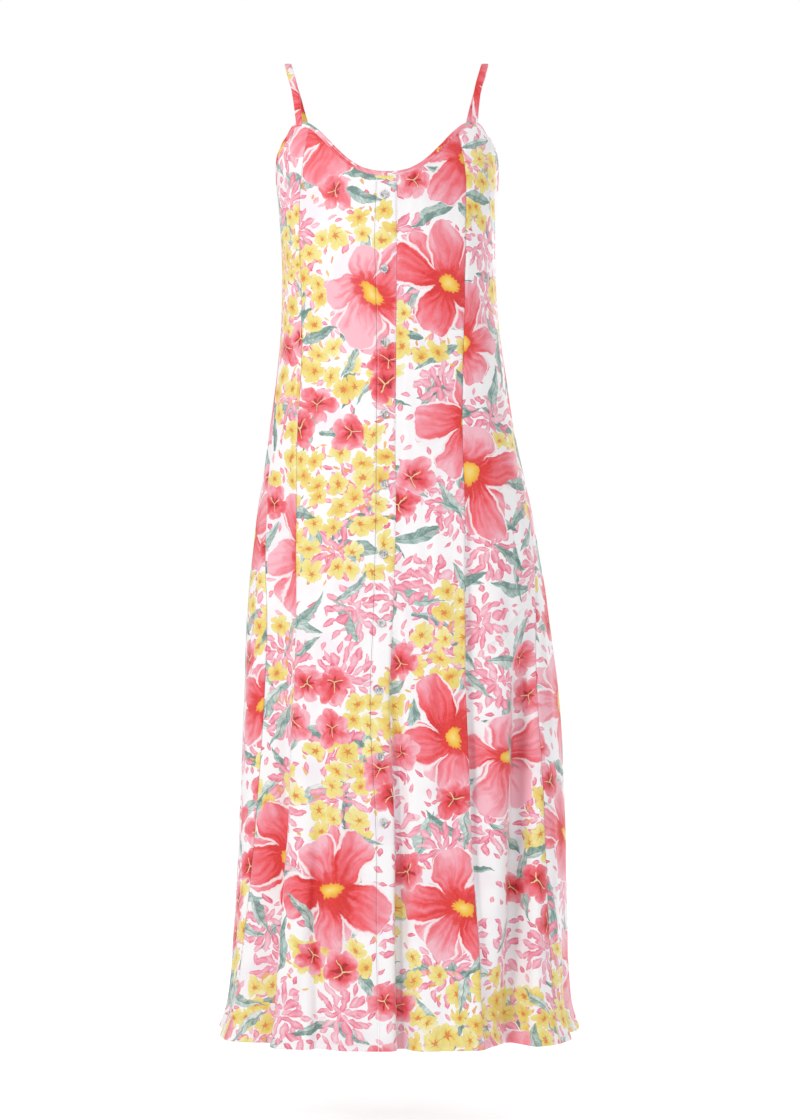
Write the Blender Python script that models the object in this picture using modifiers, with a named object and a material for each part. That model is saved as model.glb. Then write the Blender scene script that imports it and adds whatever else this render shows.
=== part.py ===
"""A sleeveless button-front maxi dress, filled out as if worn, with no wearer inside.

Metres, +Z up. The front faces -Y. The origin is midway between the tops of the two
shoulder straps, where a wearer's shoulders would carry the dress. Left and right
are the wearer's: the wearer's right is at -X.

Every panel is one stretch of a single cloth surface. A place on it is given by
"across", which counts the seams round the dress, and "drop", the distance below the
strap tops. Folds dent that surface inward, so they follow the grain between seams.
"""

import math

import bmesh
import bpy
from mathutils import Vector

MM = 0.001

# Driving sizes, in metres
HEM_DROP = 1.350
WALL = 0.0012
SEAM_GAP = 0.00036
LAP = WALL + SEAM_GAP
LAP_RAMP = 0.30
BINDING_HEIGHT = 0.0052
BINDING_THICKNESS = 0.0034
STRAP_WIDTH = 0.0100
STRAP_THICKNESS = 0.0030
BUTTON_RADIUS = 0.00575
BUTTON_THICKNESS = 0.0024
BUTTON_SEAT = 0.0007
BUTTON_COUNT = 10
BUTTON_ACROSS = 2.42
FIRST_BUTTON_DROP = 0.199
FIRST_BUTTON_SPACING = 0.1008
BUTTON_SPACING_LOSS = 0.00165

# The closed sections of the filled-out dress, in millimetres.
# half_width is from side to side, front and back are depths from the shoulder line,
# sway is how far the skirt hangs to the wearer's left, and roundness is the power of
# the section's superellipse: 2 is an ellipse, and more is squarer.
SECTIONS = (
    # drop, half_width, front, back, sway, roundness
    (40, 152, 74, 74, 1, 2.2),
    (91, 153, 84, 81, 1, 2.2),
    (148, 155, 100, 92, 1, 2.2),
    (246, 150, 122, 97, 2, 2.2),
    (330, 150, 118, 91, 4, 2.2),
    (414, 157, 113, 89, 6, 2.2),
    (526, 173, 118, 104, 8, 2.2),
    (638, 193, 128, 122, 12, 2.3),
    (750, 208, 137, 135, 15, 2.4),
    (890, 219, 147, 149, 21, 2.5),
    (1060, 227, 158, 165, 22, 2.6),
    (1226, 234, 167, 181, 20, 2.7),
    (1310, 240, 172, 190, 18, 2.8),
    (1350, 252, 176, 196, 17, 2.8),
)

# Where each seam lies round the section, in degrees from the centre front.
# Positive is the wearer's left. The back runs from side_left round to side_right.
SEAMS = (
    # drop, side_right, princess_right, placket_seam, placket_edge, princess_left, side_left
    (91, -90, -58.5, -7.5, 7.2, 54, 90),
    (164, -90, -58.5, -7.5, 7.2, 54, 90),
    (246, -89, -58.0, -8.0, 6.0, 49.8, 89),
    (380, -86, -58.3, -9.0, 4.3, 48.5, 86),
    (530, -79, -57.5, -10.3, 2.2, 43.3, 82),
    (640, -72, -54.0, -11.4, 0.6, 39.6, 78),
    (760, -66.5, -52.0, -13.2, -2.4, 36.0, 71),
    (890, -66.0, -52.2, -16.1, -6.2, 33.6, 63.5),
    (1060, -67.0, -52.0, -12.6, -3.2, 33.0, 62),
    (1200, -69.0, -53.2, -11.3, -2.5, 34.0, 62),
    (1350, -71.0, -51.7, -8.7, -0.3, 35.4, 62),
)

# The finished top edge, bound edge included. The front and back necklines are scoops
# between the strap points, and these are the armhole's points on either side.
ARMHOLE = (
    # angle, drop_right, drop_left
    (62.8, 91, 91),
    (67.2, 91, 91),
    (69.8, 99, 98),
    (71.5, 106, 103),
    (74.3, 113, 110),
    (76.6, 120, 116),
    (82.7, 132, 128),
    (86.7, 147, 146),
    (91.7, 178, 172),
    (95.7, 170, 140),
    (99.3, 146, 124),
    (103.9, 128, 116),
    (111.0, 110, 107),
    (117.8, 100, 100),
    (122.2, 100, 100),
)
FRONT_APEX_ANGLE = 65
BACK_APEX_ANGLE = 120
APEX_HALF_ANGLE = 2.2
STRAP_CLEAR_ANGLE = 2.6
FRONT_NECK_DROP = 165.5
BACK_NECK_DROP = 152
FRONT_SCOOP_POWERS = (2.4, 1.65)
BACK_SCOOP_POWERS = (2.0, 1.2)
PLACKET_EDGE_ANGLE = 6.9

# The main folds. across_start and across_hem place the fold's floor between seams,
# width is in degrees, depth and lean in millimetres. A positive lean carries the
# floor towards the wearer's left, under the ridge beside it.
FOLDS = (
    # start, across_start, across_hem, width, depth_890, depth_hem, lean
    (430, 0.50, 0.68, 6.0, 20, 34, 14),
    (900, 1.34, 1.48, 3.8, 2, 17, -9),
    (740, 3.09, 3.07, 3.0, 8, 20, -5),
    (540, 4.10, 4.10, 2.8, 13, 6, -6),
    (700, 4.95, 4.32, 5.2, 24, 46, 12),
    (1080, 5.07, 5.07, 5.5, 0, 22, 6),
    (720, 5.17, 5.18, 6.0, 14, 32, -10),
    (560, 5.31, 5.30, 6.5, 18, 40, 12),
    (640, 5.44, 5.45, 7.0, 12, 30, -8),
    (520, 5.56, 5.57, 6.5, 20, 42, -14),
    (760, 5.68, 5.67, 7.0, 12, 32, 10),
    (600, 5.80, 5.79, 6.5, 16, 36, -10),
    (980, 5.95, 5.94, 5.0, 4, 22, 6),
)
FOLD_MIDDLE_DROP = 0.890

# How finely the cloth is divided from each seam to the next. A crowding above 1 puts
# the columns closer together at the start, where a fold is tight.
SEAM_COUNT = 6
DIVISIONS = (
    # columns, crowding
    (13, 1.0),
    (20, 1.0),
    (4, 1.0),
    (15, 1.5),
    (18, 1.15),
    (52, 1.0),
)
PANELS = (
    # name, first seam, last seam, colour
    ("side_front_right", 0, 1, (0.93, 0.80, 0.82)),
    ("front_right", 1, 2, (0.95, 0.84, 0.85)),
    ("button_placket", 2, 3, (0.95, 0.78, 0.80)),
    ("front_left", 2, 4, (0.95, 0.84, 0.85)),
    ("side_front_left", 4, 5, (0.93, 0.80, 0.82)),
    ("back", 5, 6, (0.92, 0.82, 0.84)),
)
BINDING_OUTLINE = (
    # side, height
    (-1, 0),
    (-1, 0.7),
    (-0.5, 1),
    (0.5, 1),
    (1, 0.7),
    (1, 0),
)
STRAP_OUTLINE = (
    # wide, thick
    (-1, -0.4),
    (-0.75, -1),
    (0.75, -1),
    (1, -0.4),
    (1, 0.4),
    (0.75, 1),
    (-0.75, 1),
    (-1, 0.4),
)
# The strap's middle line between its two feet, in millimetres from the origin, and
# how far its flat has turned from the cloth's edge to face straight up.
STRAP_ROUTE = (
    # out, forward, drop, turned
    (126.0, 37.5, 47.0, 0.40),
    (135.5, 15.0, 9.5, 0.85),
    (138.0, 0.0, 1.5, 1.00),
    (135.5, -15.0, 9.5, 0.85),
    (123.5, -40.0, 50.0, 0.40),
)
STRAP_STEPS = 4
BUTTON_PROFILE = (
    # radius, height
    (0.0, 0.0),
    (0.85, 0.0),
    (1.0, 0.4),
    (0.92, 1.0),
    (0.72, 0.95),
    (0.60, 0.6),
    (0.0, 0.6),
)
BUTTON_SIDES = 12
ROWS = 16
ROW_POWER = 1.12
TOP_SEAM_DROP = 0.150
# Small steps that find the surface's directions
ANGLE_STEP = 0.2
ACROSS_STEP = 0.004
DROP_STEP = 0.002
CREASE_ANGLE = 50
BINDING_COLOUR = (0.90, 0.45, 0.50)
BUTTON_COLOUR = (0.88, 0.87, 0.86)


def curve_through(table, place, column):
    """The value of one column at a place in the first column, on a smooth curve."""
    place = min(max(place, table[0][0]), table[-1][0])
    row = 0
    while row < len(table) - 2 and place > table[row + 1][0]:
        row += 1
    before, start, end = table[max(row - 1, 0)], table[row], table[row + 1]
    after = table[min(row + 2, len(table) - 1)]
    span = end[0] - start[0]
    part = (place - start[0]) / span

    def slope(low, high):
        return (high[column] - low[column]) / (high[0] - low[0]) * span

    start_slope = slope(before, end)
    end_slope = slope(start, after)
    return (
        start[column] * (2 * part**3 - 3 * part**2 + 1)
        + start_slope * (part**3 - 2 * part**2 + part)
        + end[column] * (3 * part**2 - 2 * part**3)
        + end_slope * (part**3 - part**2)
    )


def smooth_step(value):
    value = min(max(value, 0.0), 1.0)
    return value * value * (3 - 2 * value)


def angle_at(across, drop):
    """Degrees from the centre front of a place between the seams."""
    turns, across = divmod(across, SEAM_COUNT)
    panel = int(across)
    drop_mm = drop / MM
    first = curve_through(SEAMS, drop_mm, 1 + panel)
    if panel == SEAM_COUNT - 1:
        last = 360 + curve_through(SEAMS, drop_mm, 1)
    else:
        last = curve_through(SEAMS, drop_mm, 2 + panel)
    return first + (last - first) * (across - panel) + 360 * turns


def across_at_top(angle):
    """The place between the seams that lies at this angle near the top edge."""
    seams = [curve_through(SEAMS, TOP_SEAM_DROP / MM, 1 + seam) for seam in range(SEAM_COUNT)]
    seams.append(seams[0] + 360)
    turns = 0
    while angle < seams[0]:
        angle += 360
        turns -= 1
    while angle >= seams[-1]:
        angle -= 360
        turns += 1
    panel = max(seam for seam in range(SEAM_COUNT) if seams[seam] <= angle)
    part = (angle - seams[panel]) / (seams[panel + 1] - seams[panel])
    return panel + part + SEAM_COUNT * turns


def section_point(angle, drop):
    """A point of the plain section, before any fold."""
    drop_mm = drop / MM
    half_width, front, back, sway, power = (
        curve_through(SECTIONS, drop_mm, column) for column in range(1, 6)
    )
    sideways, forwards = math.sin(math.radians(angle)), math.cos(math.radians(angle))
    depth = front if forwards > 0 else back
    reach = (abs(sideways / half_width) ** power + abs(forwards / depth) ** power) ** (-1 / power)
    return Vector((sway + reach * sideways, -reach * forwards, -drop_mm)) * MM


def fold_depth(fold, drop):
    """How deep a fold is at this drop, in metres."""
    start = fold[0] * MM
    middle_depth, hem_depth = fold[4] * MM, fold[5] * MM
    if drop <= start:
        return 0.0
    if start >= FOLD_MIDDLE_DROP:
        return hem_depth * smooth_step((drop - start) / (HEM_DROP - start))
    if drop < FOLD_MIDDLE_DROP:
        return middle_depth * smooth_step((drop - start) / (FOLD_MIDDLE_DROP - start))
    part = (drop - FOLD_MIDDLE_DROP) / (HEM_DROP - FOLD_MIDDLE_DROP)
    return middle_depth + (hem_depth - middle_depth) * part


def surface_point(across, drop):
    """A point on the outside of the cloth."""
    angle = angle_at(across, drop)
    point = section_point(angle, drop)
    ahead = section_point(angle + ANGLE_STEP, drop)
    behind = section_point(angle - ANGLE_STEP, drop)
    sideways = (ahead - behind).normalized()
    outward = Vector((sideways.y, -sideways.x, 0))
    for fold in FOLDS:
        start, across_start, across_hem, width, _, hem_depth, lean = fold
        depth = fold_depth(fold, drop)
        if depth == 0:
            continue
        run = (drop - start * MM) / (HEM_DROP - start * MM)
        centre = angle_at(across_start + (across_hem - across_start) * run, drop)
        offset = (angle - centre + 180) % 360 - 180
        dent = depth * math.exp(-((offset / width) ** 2))
        point -= outward * dent
        point += sideways * (dent * lean / hem_depth)
    return point


def cloth_point(across, drop, lift=0.0, slide=0.0):
    """A point of the cloth, moved out by lift and along the section by slide."""
    point = surface_point(across, drop)
    along = surface_point(across + ACROSS_STEP, drop) - surface_point(across - ACROSS_STEP, drop)
    along.normalize()
    down = surface_point(across, drop + DROP_STEP) - surface_point(across, drop - DROP_STEP)
    outward = down.cross(along).normalized()
    return point + outward * lift + along * slide


def scoop(part, apex, bottom, powers):
    """A neckline's drop: part is 0 at its middle and 1 at the strap."""
    return apex + (bottom - apex) * (1 - part ** powers[0]) ** powers[1]


def top_drop(angle):
    """How far below the strap tops the cloth starts, under the binding."""
    angle = (angle + 180) % 360 - 180
    side = 1 if angle < 0 else 2
    angle = abs(angle)
    front_end = FRONT_APEX_ANGLE - APEX_HALF_ANGLE
    back_end = BACK_APEX_ANGLE + APEX_HALF_ANGLE
    if angle < front_end:
        edge = scoop(angle / front_end, ARMHOLE[0][side], FRONT_NECK_DROP, FRONT_SCOOP_POWERS)
    elif angle > back_end:
        part = (180 - angle) / (180 - back_end)
        edge = scoop(part, ARMHOLE[-1][side], BACK_NECK_DROP, BACK_SCOOP_POWERS)
    else:
        edge = curve_through(ARMHOLE, angle, side)
    return edge * MM + BINDING_HEIGHT + SEAM_GAP


def top_drop_across(across):
    return top_drop(angle_at(across, TOP_SEAM_DROP))


def row_drop(across, row):
    """The drop of one row of a column: rows are closer together near the top."""
    top = top_drop_across(across)
    return top + (HEM_DROP - top) * (row / ROWS) ** ROW_POWER


def placket_lift(across):
    """The lapped band is one wall and a gap above the panel under it."""
    return LAP * smooth_step((across - (2 - LAP_RAMP)) / LAP_RAMP)


def material_of(name, colour, roughness=0.75):
    material = bpy.data.materials.new(name)
    material.use_nodes = True
    shader = material.node_tree.nodes["Principled BSDF"]
    shader.inputs["Base Color"].default_value = (*colour, 1)
    shader.inputs["Roughness"].default_value = roughness
    shader.inputs["Metallic"].default_value = 0
    material.diffuse_color = (*colour, 1)
    return material


def object_from(name, mesh_data, colour, roughness=0.75):
    """Makes the named object of a bmesh, smooth except at its crisp edges."""
    bmesh.ops.recalc_face_normals(mesh_data, faces=mesh_data.faces)
    mesh = bpy.data.meshes.new(name)
    mesh_data.to_mesh(mesh)
    mesh_data.free()
    mesh.shade_smooth()
    mesh.set_sharp_from_angle(angle=math.radians(CREASE_ANGLE))
    mesh.materials.append(material_of(name, colour, roughness))
    made = bpy.data.objects.new(name, mesh)
    DRESS.objects.link(made)
    return made


def wall_between(outer, inner):
    """A closed wall between two matching grids of points, given as lists of columns."""
    mesh_data = bmesh.new()
    grids = [
        [[mesh_data.verts.new(point) for point in column] for column in grid]
        for grid in (outer, inner)
    ]
    last_column, last_row = len(outer) - 1, len(outer[0]) - 1
    for grid in grids:
        for column in range(last_column):
            for row in range(last_row):
                mesh_data.faces.new(
                    (
                        grid[column][row],
                        grid[column][row + 1],
                        grid[column + 1][row + 1],
                        grid[column + 1][row],
                    )
                )
    rim = [(0, row) for row in range(last_row)]
    rim += [(column, last_row) for column in range(last_column)]
    rim += [(last_column, row) for row in range(last_row, 0, -1)]
    rim += [(column, 0) for column in range(last_column, 0, -1)]
    for place, (column, row) in enumerate(rim):
        next_column, next_row = rim[(place + 1) % len(rim)]
        mesh_data.faces.new(
            (
                grids[0][column][row],
                grids[0][next_column][next_row],
                grids[1][next_column][next_row],
                grids[1][column][row],
            )
        )
    return mesh_data


def tube_of(rings):
    """A closed solid through rings of points, with flat ends."""
    mesh_data = bmesh.new()
    loops = [[mesh_data.verts.new(point) for point in ring] for ring in rings]
    count = len(loops[0])
    for ring, following in zip(loops, loops[1:]):
        for place in range(count):
            beside = (place + 1) % count
            mesh_data.faces.new((ring[place], ring[beside], following[beside], following[place]))
    mesh_data.faces.new(loops[0][::-1])
    mesh_data.faces.new(loops[-1])
    return mesh_data


def column_places(first_seam, last_seam):
    """The places of the columns between two seams, ends included."""
    places = []
    for interval in range(first_seam, last_seam):
        columns, crowding = DIVISIONS[interval]
        places += [interval + (column / columns) ** crowding for column in range(columns)]
    return places + [last_seam]


def lift_on(panel_name, across):
    """Only the lapped side of the front rises above the plain surface."""
    return placket_lift(across) if panel_name in ("front_right", "button_placket") else 0.0


def make_panel(name, first_seam, last_seam, colour):
    """One cut panel of cloth between two seams."""
    outer, inner = [], []
    for across in column_places(first_seam, last_seam):
        slide = 0.0
        if across == first_seam:
            slide = SEAM_GAP / 2
        elif across == last_seam:
            slide = -SEAM_GAP / 2
        lift = lift_on(name, across)
        drops = [row_drop(across, row) for row in range(ROWS + 1)]
        outer.append([cloth_point(across, drop, lift, slide) for drop in drops])
        inner.append([cloth_point(across, drop, lift - WALL, slide) for drop in drops])
    return object_from(name, wall_between(outer, inner), colour)


def binding_ring(across, lift):
    """The rouleau's section on the cloth's top edge: round above, flat on the edge."""
    top = top_drop_across(across)
    foot_outer = cloth_point(across, top, lift)
    foot_inner = cloth_point(across, top, lift - WALL)
    outward = (foot_outer - foot_inner).normalized()
    ahead, behind = across + ACROSS_STEP, across - ACROSS_STEP
    edge = cloth_point(ahead, top_drop_across(ahead), lift)
    edge -= cloth_point(behind, top_drop_across(behind), lift)
    upward = outward.cross(edge.normalized())
    if upward.z < 0:
        upward.negate()
    middle = (foot_outer + foot_inner) / 2 + upward * SEAM_GAP
    return [
        middle
        + outward * (side * BINDING_THICKNESS / 2)
        + upward * (height * BINDING_HEIGHT)
        for side, height in BINDING_OUTLINE
    ]


def make_binding(name, first_angle, last_angle, lapped=False):
    """A rouleau along the top edge between two angles, with a ring on each column."""
    first, last = across_at_top(first_angle), across_at_top(last_angle)
    columns = column_places(0, SEAM_COUNT)
    columns += [SEAM_COUNT + place for place in columns[1:]]

    def ring_on(place):
        """The ring between two columns lies on the straight edge that joins them."""
        after = next(column for column in columns if column >= place)
        before = max(column for column in columns if column <= place)
        rings = [
            binding_ring(column, placket_lift(column) if lapped else 0.0)
            for column in (before, after)
        ]
        part = (place - before) / (after - before) if after > before else 0
        return [low.lerp(high, part) for low, high in zip(*rings)]

    places = [first] + [column for column in columns if first < column < last] + [last]
    return object_from(name, tube_of([ring_on(place) for place in places]), BINDING_COLOUR)


def smooth_path(points, steps):
    """Points along a smooth curve through the given ones."""
    path = []
    count = len(points)
    for piece in range(count - 1):
        before = points[max(piece - 1, 0)]
        start, end = points[piece], points[piece + 1]
        after = points[min(piece + 2, count - 1)]
        start_pull, end_pull = (end - before) / 2, (after - start) / 2
        for step in range(steps):
            part = step / steps
            path.append(
                start * (2 * part**3 - 3 * part**2 + 1)
                + start_pull * (part**3 - 2 * part**2 + part)
                + end * (3 * part**2 - 2 * part**3)
                + end_pull * (part**3 - part**2)
            )
    path.append(points[-1])
    return path


def strap_foot(angle):
    """Where a strap leaves the top edge, with the edge's own direction there."""
    across = across_at_top(angle)
    top = top_drop(angle)
    point = (cloth_point(across, top) + cloth_point(across, top, -WALL)) / 2
    beside = cloth_point(across + ACROSS_STEP, top) - cloth_point(across - ACROSS_STEP, top)
    return point, beside.normalized()


def make_strap(name, side):
    """A narrow flat tube from the front apex over the shoulder to the back apex."""
    front, front_width = strap_foot(side * FRONT_APEX_ANGLE)
    back, back_width = strap_foot(side * BACK_APEX_ANGLE)
    rise = Vector((0, 0, SEAM_GAP))
    outward = Vector((side, 0, 0))
    route, widths = [front + rise], [front_width * side]
    for out, forward, drop, turned in STRAP_ROUTE:
        route.append(Vector((side * out, -forward, -drop)) * MM)
        near = front_width * side if forward > 0 else -back_width * side
        widths.append(near.lerp(outward, turned))
    route.append(back + rise)
    widths.append(-back_width * side)
    path = smooth_path(route, STRAP_STEPS)
    width_path = smooth_path(widths, STRAP_STEPS)
    rings = []
    for place, (point, width_way) in enumerate(zip(path, width_path)):
        if place == 0:
            forward = Vector((0, 0, 1))
        elif place == len(path) - 1:
            forward = Vector((0, 0, -1))
        else:
            forward = (path[place + 1] - path[place - 1]).normalized()
        width_way = (width_way - forward * width_way.dot(forward)).normalized()
        face_way = forward.cross(width_way)
        rings.append(
            [
                point
                + width_way * (wide * STRAP_WIDTH / 2)
                + face_way * (thick * STRAP_THICKNESS / 2)
                for wide, thick in STRAP_OUTLINE
            ]
        )
    return object_from(name, tube_of(rings), BINDING_COLOUR)


def point_on_panel(across, drop, lift):
    """A point over the flat faces between a panel's own columns and rows."""
    columns = column_places(0, SEAM_COUNT)
    after = next(column for column in columns if column >= across)
    before = max(column for column in columns if column < across)
    on_columns = []
    for column in (before, after):
        row = max(row for row in range(ROWS) if row_drop(column, row) <= drop)
        upper, lower = row_drop(column, row), row_drop(column, row + 1)
        high, low = cloth_point(column, upper, lift), cloth_point(column, lower, lift)
        on_columns.append(high.lerp(low, (drop - upper) / (lower - upper)))
    return on_columns[0].lerp(on_columns[1], (across - before) / (after - before))


def button_drop(number):
    """The spacing shortens a little from each button to the next."""
    return (
        FIRST_BUTTON_DROP
        + number * FIRST_BUTTON_SPACING
        - BUTTON_SPACING_LOSS * number * (number - 1) / 2
    )


def make_button(number):
    """A small dished disc that lies on the middle of the placket."""
    drop = button_drop(number)
    seat = point_on_panel(BUTTON_ACROSS, drop, LAP + BUTTON_SEAT)
    outward = (seat - point_on_panel(BUTTON_ACROSS, drop, 0)).normalized()
    turn = outward.to_track_quat("Z", "Y")
    name = f"button_{number + 1:02d}"
    mesh = bpy.data.meshes.new(name)
    mesh.from_pydata(
        [
            (radius * BUTTON_RADIUS, 0, height * BUTTON_THICKNESS)
            for radius, height in reversed(BUTTON_PROFILE)
        ],
        [(place, place + 1) for place in range(len(BUTTON_PROFILE) - 1)],
        [],
    )
    mesh.materials.append(material_of(name, BUTTON_COLOUR, 0.2))
    button = bpy.data.objects.new(name, mesh)
    button.location = seat
    button.rotation_mode = "QUATERNION"
    button.rotation_quaternion = turn
    DRESS.objects.link(button)
    screw = button.modifiers.new("turned", "SCREW")
    screw.axis = "Z"
    screw.steps = screw.render_steps = BUTTON_SIDES
    screw.use_merge_vertices = True
    screw.merge_threshold = 0.00005
    return button


for old in list(bpy.data.objects):
    bpy.data.objects.remove(old)
DRESS = bpy.data.collections.new("maxi_dress")
bpy.context.scene.collection.children.link(DRESS)

for panel in PANELS:
    make_panel(*panel)

front_start = FRONT_APEX_ANGLE - STRAP_CLEAR_ANGLE
front_end = FRONT_APEX_ANGLE + STRAP_CLEAR_ANGLE
back_start = BACK_APEX_ANGLE - STRAP_CLEAR_ANGLE
back_end = BACK_APEX_ANGLE + STRAP_CLEAR_ANGLE
make_binding("neck_binding_right", -front_start, PLACKET_EDGE_ANGLE, lapped=True)
make_binding("neck_binding_left", PLACKET_EDGE_ANGLE + 0.15, front_start)
make_binding("arm_binding_left", front_end, back_start)
make_binding("back_binding", back_end, 360 - back_end)
make_binding("arm_binding_right", 360 - back_start, 360 - front_end)
make_strap("strap_right", -1)
make_strap("strap_left", 1)
for button_number in range(BUTTON_COUNT):
    make_button(button_number)
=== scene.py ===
# %% [markdown]
# A summer maxi dress, shown filled out as if somebody wore it. The real one is cut from
# a light printed viscose: six long panels, a buttoned band down the front, narrow rolled
# bindings round the neck and the arms, and two thin straps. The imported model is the
# frame: it says where every piece lies. This script keeps that place and shape and adds
# the cloth, the print, the stitches and the buttons.

import math

import bmesh
import bpy
import numpy as np
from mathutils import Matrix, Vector


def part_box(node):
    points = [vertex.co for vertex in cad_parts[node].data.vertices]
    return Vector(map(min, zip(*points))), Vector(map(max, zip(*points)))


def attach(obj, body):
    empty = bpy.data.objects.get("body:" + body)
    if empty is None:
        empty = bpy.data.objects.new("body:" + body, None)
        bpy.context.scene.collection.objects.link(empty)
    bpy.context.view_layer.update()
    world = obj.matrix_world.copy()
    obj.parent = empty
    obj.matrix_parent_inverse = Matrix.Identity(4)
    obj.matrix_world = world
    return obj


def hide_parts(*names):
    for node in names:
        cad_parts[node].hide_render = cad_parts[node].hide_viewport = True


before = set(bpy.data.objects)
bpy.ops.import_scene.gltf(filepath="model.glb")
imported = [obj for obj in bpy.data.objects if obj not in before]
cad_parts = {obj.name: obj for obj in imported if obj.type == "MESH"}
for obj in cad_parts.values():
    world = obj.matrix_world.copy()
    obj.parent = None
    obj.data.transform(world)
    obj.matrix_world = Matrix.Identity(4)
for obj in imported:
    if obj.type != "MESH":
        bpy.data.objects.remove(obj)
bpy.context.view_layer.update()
MM = 0.001
print("nodes in the frame:", len(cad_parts))

# %% [markdown]
# The cloth is one continuous surface round the body. Cutting it from one surface, and
# not from six loose patches, is what makes neighbouring panels meet at their seams. A
# place on it is "across", which counts the seams round the dress, and "drop", the
# distance below the strap tops. The same tables shape the solids, so the two agree.

# %% The sizes of the dress, in metres
HEM_DROP = 1.350
WALL = 0.0012
SEAM_GAP = 0.00036
LAP = WALL + SEAM_GAP
LAP_RAMP = 0.30
BINDING_HEIGHT = 0.0052
BINDING_THICKNESS = 0.0034
STRAP_WIDTH = 0.0100
STRAP_THICKNESS = 0.0030

# %% The closed sections of the dress, in millimetres
SECTIONS = np.array([
    # drop, half_width, front, back, sway, roundness
    (40, 152, 74, 74, 1, 2.2),
    (91, 153, 84, 81, 1, 2.2),
    (148, 155, 100, 92, 1, 2.2),
    (246, 150, 122, 97, 2, 2.2),
    (330, 150, 118, 91, 4, 2.2),
    (414, 157, 113, 89, 6, 2.2),
    (526, 173, 118, 104, 8, 2.2),
    (638, 193, 128, 122, 12, 2.3),
    (750, 208, 137, 135, 15, 2.4),
    (890, 219, 147, 149, 21, 2.5),
    (1060, 227, 158, 165, 22, 2.6),
    (1226, 234, 167, 181, 20, 2.7),
    (1310, 240, 172, 190, 18, 2.8),
    (1350, 252, 176, 196, 17, 2.8),
], float)

# %% Where the seams lie, in degrees from the centre front towards the wearer's left
SEAMS = np.array([
    # drop, side_right, princess_right, placket_seam, placket_edge, princess_left, side_left
    (91, -90, -58.5, -7.5, 7.2, 54, 90),
    (164, -90, -58.5, -7.5, 7.2, 54, 90),
    (246, -89, -58.0, -8.0, 6.0, 49.8, 89),
    (380, -86, -58.3, -9.0, 4.3, 48.5, 86),
    (530, -79, -57.5, -10.3, 2.2, 43.3, 82),
    (640, -72, -54.0, -11.4, 0.6, 39.6, 78),
    (760, -66.5, -52.0, -13.2, -2.4, 36.0, 71),
    (890, -66.0, -52.2, -16.1, -6.2, 33.6, 63.5),
    (1060, -67.0, -52.0, -12.6, -3.2, 33.0, 62),
    (1200, -69.0, -53.2, -11.3, -2.5, 34.0, 62),
    (1350, -71.0, -51.7, -8.7, -0.3, 35.4, 62),
], float)
SEAM_COUNT = 6

# %% The finished top edge: two scoops, and the armhole's points between them
ARMHOLE = np.array([
    # angle, drop_right, drop_left
    (62.8, 91, 91),
    (67.2, 91, 91),
    (69.8, 99, 98),
    (71.5, 106, 103),
    (74.3, 113, 110),
    (76.6, 120, 116),
    (82.7, 132, 128),
    (86.7, 147, 146),
    (91.7, 178, 172),
    (95.7, 170, 140),
    (99.3, 146, 124),
    (103.9, 128, 116),
    (111.0, 110, 107),
    (117.8, 100, 100),
    (122.2, 100, 100),
], float)
FRONT_APEX_ANGLE = 65
BACK_APEX_ANGLE = 120
APEX_HALF_ANGLE = 2.2
FRONT_NECK_DROP = 165.5
BACK_NECK_DROP = 152
FRONT_SCOOP_POWERS = (2.4, 1.65)
BACK_SCOOP_POWERS = (2.0, 1.2)
PLACKET_EDGE_ANGLE = 6.9
TOP_SEAM_DROP = 0.150

# %% The main folds: width in degrees, depth and lean in millimetres
FOLDS = (
    # start, across_start, across_hem, width, depth_890, depth_hem, lean
    (430, 0.50, 0.68, 6.0, 20, 34, 14),
    (900, 1.34, 1.48, 3.8, 2, 17, -9),
    (740, 3.09, 3.07, 3.0, 8, 20, -5),
    (540, 4.10, 4.10, 2.8, 13, 6, -6),
    (700, 4.95, 4.32, 5.2, 24, 46, 12),
    (1080, 5.07, 5.07, 5.5, 0, 22, 6),
    (720, 5.17, 5.18, 6.0, 14, 32, -10),
    (560, 5.31, 5.30, 6.5, 18, 40, 12),
    (640, 5.44, 5.45, 7.0, 12, 30, -8),
    (520, 5.56, 5.57, 6.5, 20, 42, -14),
    (760, 5.68, 5.67, 7.0, 12, 32, 10),
    (600, 5.80, 5.79, 6.5, 16, 36, -10),
    (980, 5.95, 5.94, 5.0, 4, 22, 6),
)
FOLD_MIDDLE_DROP = 0.890

# %% [markdown]
# Every table is read along a smooth curve, so a few rows give a flowing shape. NumPy
# works a whole grid of points out at once, which keeps a fine mesh quick to make.

# %% Curves through tables, and the plain section


def smooth_between(start, end, pull_start, pull_end, part):
    """A smooth curve that leaves the start and reaches the end along the pulls."""
    return (
        start * (2 * part**3 - 3 * part**2 + 1)
        + pull_start * (part**3 - 2 * part**2 + part)
        + end * (3 * part**2 - 2 * part**3)
        + pull_end * (part**3 - part**2)
    )


def curve_through(table, place, column):
    """The values of one column at places in the first column, on a smooth curve."""
    x, y = table[:, 0], table[:, column]
    place = np.clip(place, x[0], x[-1])
    start = np.clip(np.searchsorted(x, place) - 1, 0, len(x) - 2)
    before, end, after = np.maximum(start - 1, 0), start + 1, np.minimum(start + 2, len(x) - 1)
    span = x[end] - x[start]
    pull_start = (y[end] - y[before]) / (x[end] - x[before]) * span
    pull_end = (y[after] - y[start]) / (x[after] - x[start]) * span
    return smooth_between(y[start], y[end], pull_start, pull_end, (place - x[start]) / span)


def smooth_step(value):
    value = np.clip(value, 0, 1)
    return value * value * (3 - 2 * value)


def unit(vectors):
    return vectors / np.linalg.norm(vectors, axis=-1, keepdims=True)


def wrapped(angle):
    """The same angle, from -180 to 180 degrees."""
    return (angle + 180) % 360 - 180


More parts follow.
